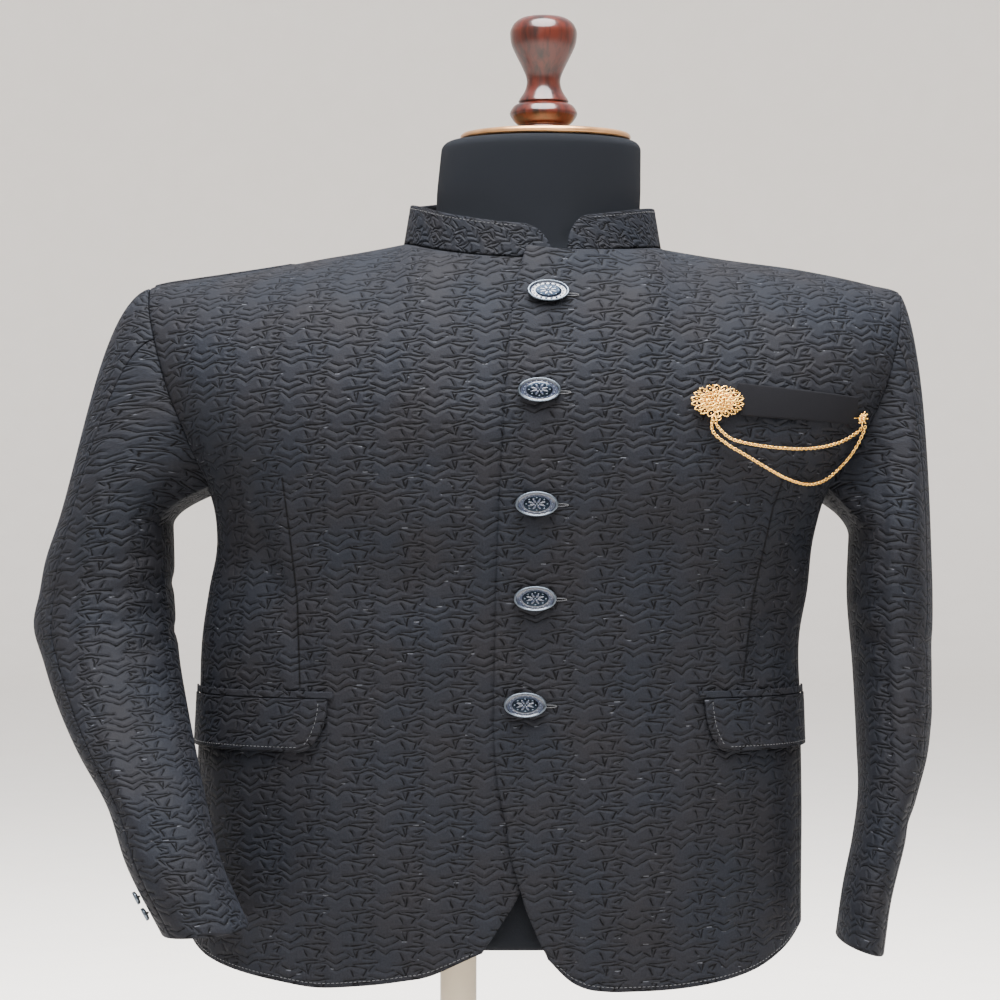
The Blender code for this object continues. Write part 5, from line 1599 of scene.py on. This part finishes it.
def build_rosettes():
    """The large sunburst brooch and the small flower, each on its pin."""
    gilt = gilt_material()
    for node, x, z, wide, high, petals in (("brooch_large", BROOCH_X, BROOCH_Z, BROOCH_WIDE, BROOCH_HIGH, BROOCH_PETALS),
                                           ("brooch_small", SMALL_X, SMALL_Z, SMALL_WIDE, SMALL_HIGH, SMALL_PETALS)):
        bm = bmesh.new()
        if node == "brooch_large":
            rosette(bm, wide, high, petals, BROOCH_THICK)
        else:
            flower(bm, wide, high, petals, BROOCH_THICK)
        bm.transform(facing(front_cloth(x, z, LEFT, pin_height(x, z) + BROOCH_LIFT), cloth_normal(x, z, LEFT, FRONT)))
        if node == "brooch_large":
            for dx in (1.6, -4.0):
                spot = front_cloth(x - 1.6 - dx * 0.55, z - 12.0, LEFT, 4.2)
                wire_ring(bm, facing(spot, cloth_normal(x, z, LEFT, FRONT)), 3.4, 3.4, 0.45)
        add_piece("gilt_" + node, bm, [gilt], [node])


def chain_route(route):
    """Points in millimetres along a chain, close together on a smooth curve."""
    ends = [(2 * route[0][0] - route[1][0], 2 * route[0][1] - route[1][1])] + list(route)
    ends.append((2 * route[-1][0] - route[-2][0], 2 * route[-1][1] - route[-2][1]))
    points = []
    for a, b, c, d in zip(ends, ends[1:], ends[2:], ends[3:]):
        for step in range(8):
            t = step / 8
            x, z = (0.5 * (2 * b[i] + (c[i] - a[i]) * t + (2 * a[i] - 5 * b[i] + 4 * c[i] - d[i]) * t * t
                           + (3 * b[i] - a[i] - 3 * c[i] + d[i]) * t ** 3) for i in (0, 1))
            points.append(front_cloth(x, z, LEFT, CHAIN_CLEAR))
    points.append(front_cloth(*route[-1], LEFT, CHAIN_CLEAR))
    return points


def build_chains():
    """Two swags of soldered cable chain between the brooches."""
    for name, route in CHAINS.items():
        points = chain_route(route)
        spots = np.array(points)
        gone = np.concatenate([[0], np.cumsum(np.linalg.norm(np.diff(spots, axis=0), axis=1))])
        count = int(gone[-1] / 2.05)
        bm = bmesh.new()
        for number in range(count):
            at = (number + 0.5) * gone[-1] / count
            where = Vector([np.interp(at, gone, spots[:, c]) for c in range(3)])
            ahead = Vector([np.interp(at + 1, gone, spots[:, c]) for c in range(3)])
            behind = Vector([np.interp(at - 1, gone, spots[:, c]) for c in range(3)])
            x = (ahead - behind).normalized()
            z = cloth_normal(where.x, where.z, LEFT, FRONT)
            y = z.cross(x).normalized()
            turn = Matrix((x, y, x.cross(y))).transposed().to_4x4()
            roll = Matrix.Rotation(math.radians(40 if number % 2 else -40), 4, "X")
            wire_ring(bm, Matrix.Translation(where) @ turn @ roll, 3.0, 2.1, 0.36, steps=10, sides=5)
        node = "brooch_chain_" + name
        piece = add_piece("gilt_" + node, bm, [gilt_material()], [node])


def build_form():
    """The padded torso and neck under their dark cotton cover, with rounded top corners."""
    corner = 7.0
    levels = list(np.linspace(FORM_BOTTOM + 4, NECK_TOP - corner, 110))
    rows = [(FORM_BOTTOM, 60.0), (FORM_BOTTOM, 8.0), (FORM_BOTTOM + 0.6, 4.0), (FORM_BOTTOM + 2, 1.4)]
    rows += [(z, 0.0) for z in levels]
    rows += [(NECK_TOP - corner + corner * math.sin(t), corner * (1 - math.cos(t))) for t in np.linspace(0.3, 1.57, 5)]
    rows.append((NECK_TOP, 40.0))
    columns = 96

    def place(k, row):
        z, inset = rows[int(row)]
        point = form_point(-180 + 360 * k / columns, z)
        axis = Vector((NECK[-1][1] if z > ARMPIT_Z else ring(FORM_BOTTOM)[0], NECK_Y, point.z))
        return point + (axis - point).normalized() * inset

    points = np.array([[place(k, row) for row in range(len(rows))] for k in range(columns + 1)])
    bm = bmesh.new()
    bmesh.ops.create_grid(bm, x_segments=columns, y_segments=len(rows) - 1, size=0.5)
    layer = bm.loops.layers.uv.new("UVMap")
    tag = bm.verts.layers.int.new("grid")
    for vertex in bm.verts:
        column = round((vertex.co.x + 0.5) * columns)
        row = round((vertex.co.y + 0.5) * (len(rows) - 1))
        vertex[tag] = column * len(rows) + row
        vertex.co = points[column, row]
    for face in bm.faces:
        for loop in face.loops:
            column, row = divmod(loop.vert[tag], len(rows))
            loop[layer].uv = (column / columns * 1.3, rows[row][0] * MM)
    bmesh.ops.remove_doubles(bm, verts=bm.verts[:], dist=0.01)
    bmesh.ops.holes_fill(bm, edges=[edge for edge in bm.edges if edge.is_boundary], sides=0)
    bmesh.ops.recalc_face_normals(bm, faces=bm.faces[:])
    cover = plain_cloth("form cotton", bpy.context.scene.jacket_form.cover, 0.6, 0.02)
    add_piece("dress_form_body", bm, [cover], ["form_body"])


def build_finial():
    """The turned wooden finial and the brass disc that it stands on."""
    bm = bmesh.new()
    spin_profile(bm, rounded(FINIAL), 72, (FINIAL_X, 0))
    bmesh.ops.translate(bm, vec=(0, 0, NECK_TOP + DISC_THICK + 2 * TOUCH), verts=bm.verts[:])
    add_piece("turned_finial", bm, [wood_material()], ["finial"])
    bm = bmesh.new()
    edge = DISC_RADIUS
    profile = [(0, DISC_THICK), (edge - 3.4, DISC_THICK), (edge - 1.6, DISC_THICK - 0.4), (edge - 0.4, DISC_THICK - 1.5),
               (edge, DISC_THICK - 2.8), (edge - 0.4, 1.4), (edge - 1.4, 0.4), (edge - 3, 0), (0, 0)]
    spin_profile(bm, profile, 128, (DISC_X, 0))
    bmesh.ops.translate(bm, vec=(0, 0, NECK_TOP + TOUCH), verts=bm.verts[:])
    add_piece("brass_neck_disc", bm, [brass_material()], ["neck_disc"])


def build_stand():
    """The painted pole and its round base."""
    paint = paint_material()
    top = FORM_BOTTOM - TOUCH
    pole = [(0, top), (POLE_RADIUS - 1, top), (POLE_RADIUS, top - 1), (POLE_RADIUS, BASE_THICK + 8), (POLE_RADIUS, BASE_THICK + TOUCH),
            (0, BASE_THICK + TOUCH)]
    bm = bmesh.new()
    spin_profile(bm, pole, 48)
    add_piece("painted_pole", bm, [paint], ["stand_pole"])
    base = [(0, BASE_THICK), (BASE_RADIUS - 10, BASE_THICK - 0.6), (BASE_RADIUS - 4, BASE_THICK - 2.6), (BASE_RADIUS - 1, BASE_THICK - 6),
            (BASE_RADIUS, BASE_THICK - 10), (BASE_RADIUS, 1.0), (BASE_RADIUS - 1, 0), (0, 0)]
    bm = bmesh.new()
    spin_profile(bm, base, 128)
    add_piece("painted_base", bm, [paint], ["stand_base"])


def build_stage():
    """A pale floor that sweeps up into a backdrop, soft light from overhead, and the camera."""
    settings = bpy.context.scene.jacket_stage
    made, tree = new_material("pale backdrop")
    place = add(tree, "ShaderNodeTexCoord", {}, "Object")
    mottle = add(tree, "ShaderNodeTexNoise", {"Vector": place, "Scale": 14.0, "Detail": 4.0})
    colour = add(tree, "ShaderNodeMix", {0: mottle, 6: linear(settings.floor_low), 7: linear(settings.floor_high)}, 2,
                 data_type="RGBA")
    finish_material(tree, {"Base Color": colour, "Roughness": 0.9})
    bm = bmesh.new()
    bend = [(FLOOR_RADIUS + BEND_RADIUS * math.sin(t), BEND_RADIUS * (1 - math.cos(t)))
            for t in np.linspace(0, math.pi / 2, 14)]
    spin_profile(bm, [(0, 0), (1.0, 0), *bend, (FLOOR_RADIUS + BEND_RADIUS, WALL_TOP)], 96)
    bmesh.ops.reverse_faces(bm, faces=[face for face in bm.faces if face.normal.dot(
        Vector((0, 0, 3)) - face.calc_center_median()) < 0])
    mesh = bpy.data.meshes.new("floor_and_backdrop")
    bm.to_mesh(mesh)
    bm.free()
    mesh.materials.append(made)
    mesh.shade_smooth()
    backdrop = bpy.data.objects.new("floor_and_backdrop", mesh)
    bpy.context.scene.collection.objects.link(backdrop)
    lights = (("overhead", (0.05, -0.55, 2.1), (0.05, -0.05, 0.7), 1.6, settings.key),
              ("front_fill", (-0.9, -2.4, 1.3), (0.03, 0, 0.45), 1.8, settings.fill),
              ("wall_wash", (0.0, -0.2, 2.2), (0.0, 0.9, 0.8), 1.4, settings.wash))
    for name, where, target, size, power in lights:
        data = bpy.data.lights.new(name, "AREA")
        data.shape = "DISK"
        data.size = size
        data.energy = power
        lamp = bpy.data.objects.new(name, data)
        lamp.location = where
        lamp.rotation_euler = (Vector(target) - Vector(where)).to_track_quat("-Z", "Y").to_euler()
        bpy.context.scene.collection.objects.link(lamp)
    world = bpy.context.scene.world or bpy.data.worlds.new("studio")
    bpy.context.scene.world = world
    world.use_nodes = True
    world.node_tree.nodes.clear()
    sky = add(world.node_tree, "ShaderNodeBackground", {"Color": linear(settings.ambient), "Strength": settings.ambient_power})
    add(world.node_tree, "ShaderNodeOutputWorld", {"Surface": sky})
    data = bpy.data.cameras.new("photograph_view")
    data.sensor_width = SENSOR
    data.lens = SENSOR * CAMERA_BACK / (1000 * PIXEL)
    camera = bpy.data.objects.new("photograph_view", data)
    camera.location = (CAMERA_X * MM, -CAMERA_BACK * MM, CAMERA_Z * MM)
    camera.rotation_euler = (math.pi / 2, 0, 0)
    bpy.context.scene.collection.objects.link(camera)
    bpy.context.scene.camera = camera


class JacketCloth(bpy.types.PropertyGroup):
    """Colours of the cloth and depth of its folds."""
    ground_cool: StringProperty(name="Cool ground", description="Hex colour of the bluer cloth", default="#16181d")
    ground_warm: StringProperty(name="Warm ground", description="Hex colour of the greyer cloth", default="#18181b")
    # the groove colour also serves as the painted shade in the darts' seams and the buttonhole slits
    groove: StringProperty(name="Groove", description="Hex colour of the woven-in lines", default="#030304")
    sheen: StringProperty(name="Sheen", description="Hex colour of the nap's sheen", default="#7f88a0")
    # glint is the colour of the painted highlights on the threads, not the colour of any thread
    glint: StringProperty(name="Glint", description="Hex colour of the brightest threads", default="#a9adb8")
    folds: FloatProperty(name="Folds", description="Depth of the folds, as a share", default=1.35, min=0.0, max=2.0,
                         subtype="FACTOR")


class JacketPattern(bpy.types.PropertyGroup):
    """Sizes of the woven figure."""
    repeat_wide: FloatProperty(name="Column pitch", description="Distance between columns of chevrons",
                               default=36.4 * MM, unit="LENGTH")
    repeat_high: FloatProperty(name="Repeat height", description="Height of one repeat", default=25.4 * MM,
                               unit="LENGTH")
    stroke_wide: FloatProperty(name="Stroke width", description="Width of a woven-in line", default=0.9 * MM,
                               unit="LENGTH")
    wander: FloatProperty(name="Wander", description="How far the lines wander", default=4.0 * MM, unit="LENGTH")
    relief: FloatProperty(name="Relief", description="Depth of the puckered figure", default=1.2 * MM, unit="LENGTH")


class JacketForm(bpy.types.PropertyGroup):
    """Finish of the dress form."""
    cover: StringProperty(name="Cover", description="Hex colour of the form's cotton cover", default="#0f1115")


class JacketStage(bpy.types.PropertyGroup):
    """Light and backdrop."""
    floor_low: StringProperty(name="Floor, dark", description="Darker hex colour of the backdrop", default="#f6f0e8")
    floor_high: StringProperty(name="Floor, light", description="Lighter hex colour of the backdrop", default="#fbf6ef")
    ambient: StringProperty(name="Ambient", description="Hex colour of the light all round", default="#e8ebf2")
    ambient_power: FloatProperty(name="Ambient strength", description="Strength of the light all round", default=1.5,
                                 min=0.0)
    key: FloatProperty(name="Overhead", description="Power of the overhead light", default=235.0, unit="POWER")
    fill: FloatProperty(name="Fill", description="Power of the front fill light", default=6.0, unit="POWER")
    wash: FloatProperty(name="Backdrop wash", description="Power of the light on the backdrop", default=20.0,
                        unit="POWER")


class BuildPiece:
    """What the piece operators share."""
    bl_options = {"REGISTER", "UNDO"}
    makers = ()

    def execute(self, context):
        for maker in self.makers:
            maker()
        return {"FINISHED"}


class JACKET_OT_fronts(BuildPiece, bpy.types.Operator):
    """Build the two fronts"""
    bl_idname = "jacket.fronts"
    bl_label = "Fronts"
    makers = (functools.partial(build_panels, FRONT),)


class JACKET_OT_backs(BuildPiece, bpy.types.Operator):
    """Build the two backs"""
    bl_idname = "jacket.backs"
    bl_label = "Backs"
    makers = (functools.partial(build_panels, BACK),)


class JACKET_OT_side_bodies(BuildPiece, bpy.types.Operator):
    """Build the panel under each arm"""
    bl_idname = "jacket.side_bodies"
    bl_label = "Side bodies"
    makers = (build_side_bodies,)


class JACKET_OT_sleeves(BuildPiece, bpy.types.Operator):
    """Build the two-piece sleeves"""
    bl_idname = "jacket.sleeves"
    bl_label = "Sleeves"
    makers = (build_sleeves,)


class JACKET_OT_collar(BuildPiece, bpy.types.Operator):
    """Build the stand collar"""
    bl_idname = "jacket.collar"
    bl_label = "Stand collar"
    makers = (build_collar,)


class JACKET_OT_pockets(BuildPiece, bpy.types.Operator):
    """Build the flaps, jets and breast welt"""
    bl_idname = "jacket.pockets"
    bl_label = "Pockets"
    makers = (build_pockets,)


class JACKET_OT_stitching(BuildPiece, bpy.types.Operator):
    """Sew the edges"""
    bl_idname = "jacket.stitching"
    bl_label = "Stitching"
    makers = (build_stitching,)


class JACKET_OT_buttons(BuildPiece, bpy.types.Operator):
    """Build the front and cuff buttons"""
    bl_idname = "jacket.buttons"
    bl_label = "Buttons"
    makers = (build_front_buttons, build_cuff_buttons)


class JACKET_OT_brooch(BuildPiece, bpy.types.Operator):
    """Build the brooches and their chains"""
    bl_idname = "jacket.brooch"
    bl_label = "Brooch and chains"
    makers = (build_rosettes, build_chains)


class JACKET_OT_form(BuildPiece, bpy.types.Operator):
    """Build the dress form, its disc, finial and stand"""
    bl_idname = "jacket.form"
    bl_label = "Dress form"
    makers = (build_form, build_finial, build_stand)


class JACKET_OT_stage(BuildPiece, bpy.types.Operator):
    """Build the backdrop, lights and camera"""
    bl_idname = "jacket.stage"
    bl_label = "Stage"
    makers = (build_stage,)


OPERATORS = (JACKET_OT_stage, JACKET_OT_brooch, JACKET_OT_fronts, JACKET_OT_backs, JACKET_OT_side_bodies,
             JACKET_OT_sleeves, JACKET_OT_collar, JACKET_OT_pockets, JACKET_OT_stitching, JACKET_OT_buttons,
             JACKET_OT_form)
SETTINGS = {"jacket_cloth": JacketCloth, "jacket_pattern": JacketPattern, "jacket_form": JacketForm,
            "jacket_stage": JacketStage}


class JACKET_PT_pieces(bpy.types.Panel):
    """The jacket's sizes, colours and pieces"""
    bl_label = "Jacket"
    bl_space_type = "VIEW_3D"
    bl_region_type = "UI"
    bl_category = "Jacket"

    def draw(self, context):
        for name, group in SETTINGS.items():
            box = self.layout.box()
            for prop in group.__annotations__:
                box.prop(getattr(context.scene, name), prop)
        for operator in OPERATORS:
            self.layout.operator(operator.bl_idname)


def register():
    for item in (*SETTINGS.values(), *OPERATORS, JACKET_PT_pieces):
        bpy.utils.register_class(item)
    for name, group in SETTINGS.items():
        setattr(bpy.types.Scene, name, PointerProperty(type=group))


def unregister():
    for name in SETTINGS:
        delattr(bpy.types.Scene, name)
    for item in (JACKET_PT_pieces, *reversed(OPERATORS), *reversed(list(SETTINGS.values()))):
        bpy.utils.unregister_class(item)


def main():
    """Register the add-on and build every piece."""
    register()
    for operator in OPERATORS:
        getattr(bpy.ops.jacket, operator.bl_idname.split(".")[1])()


if __name__ == "__main__":
    main()
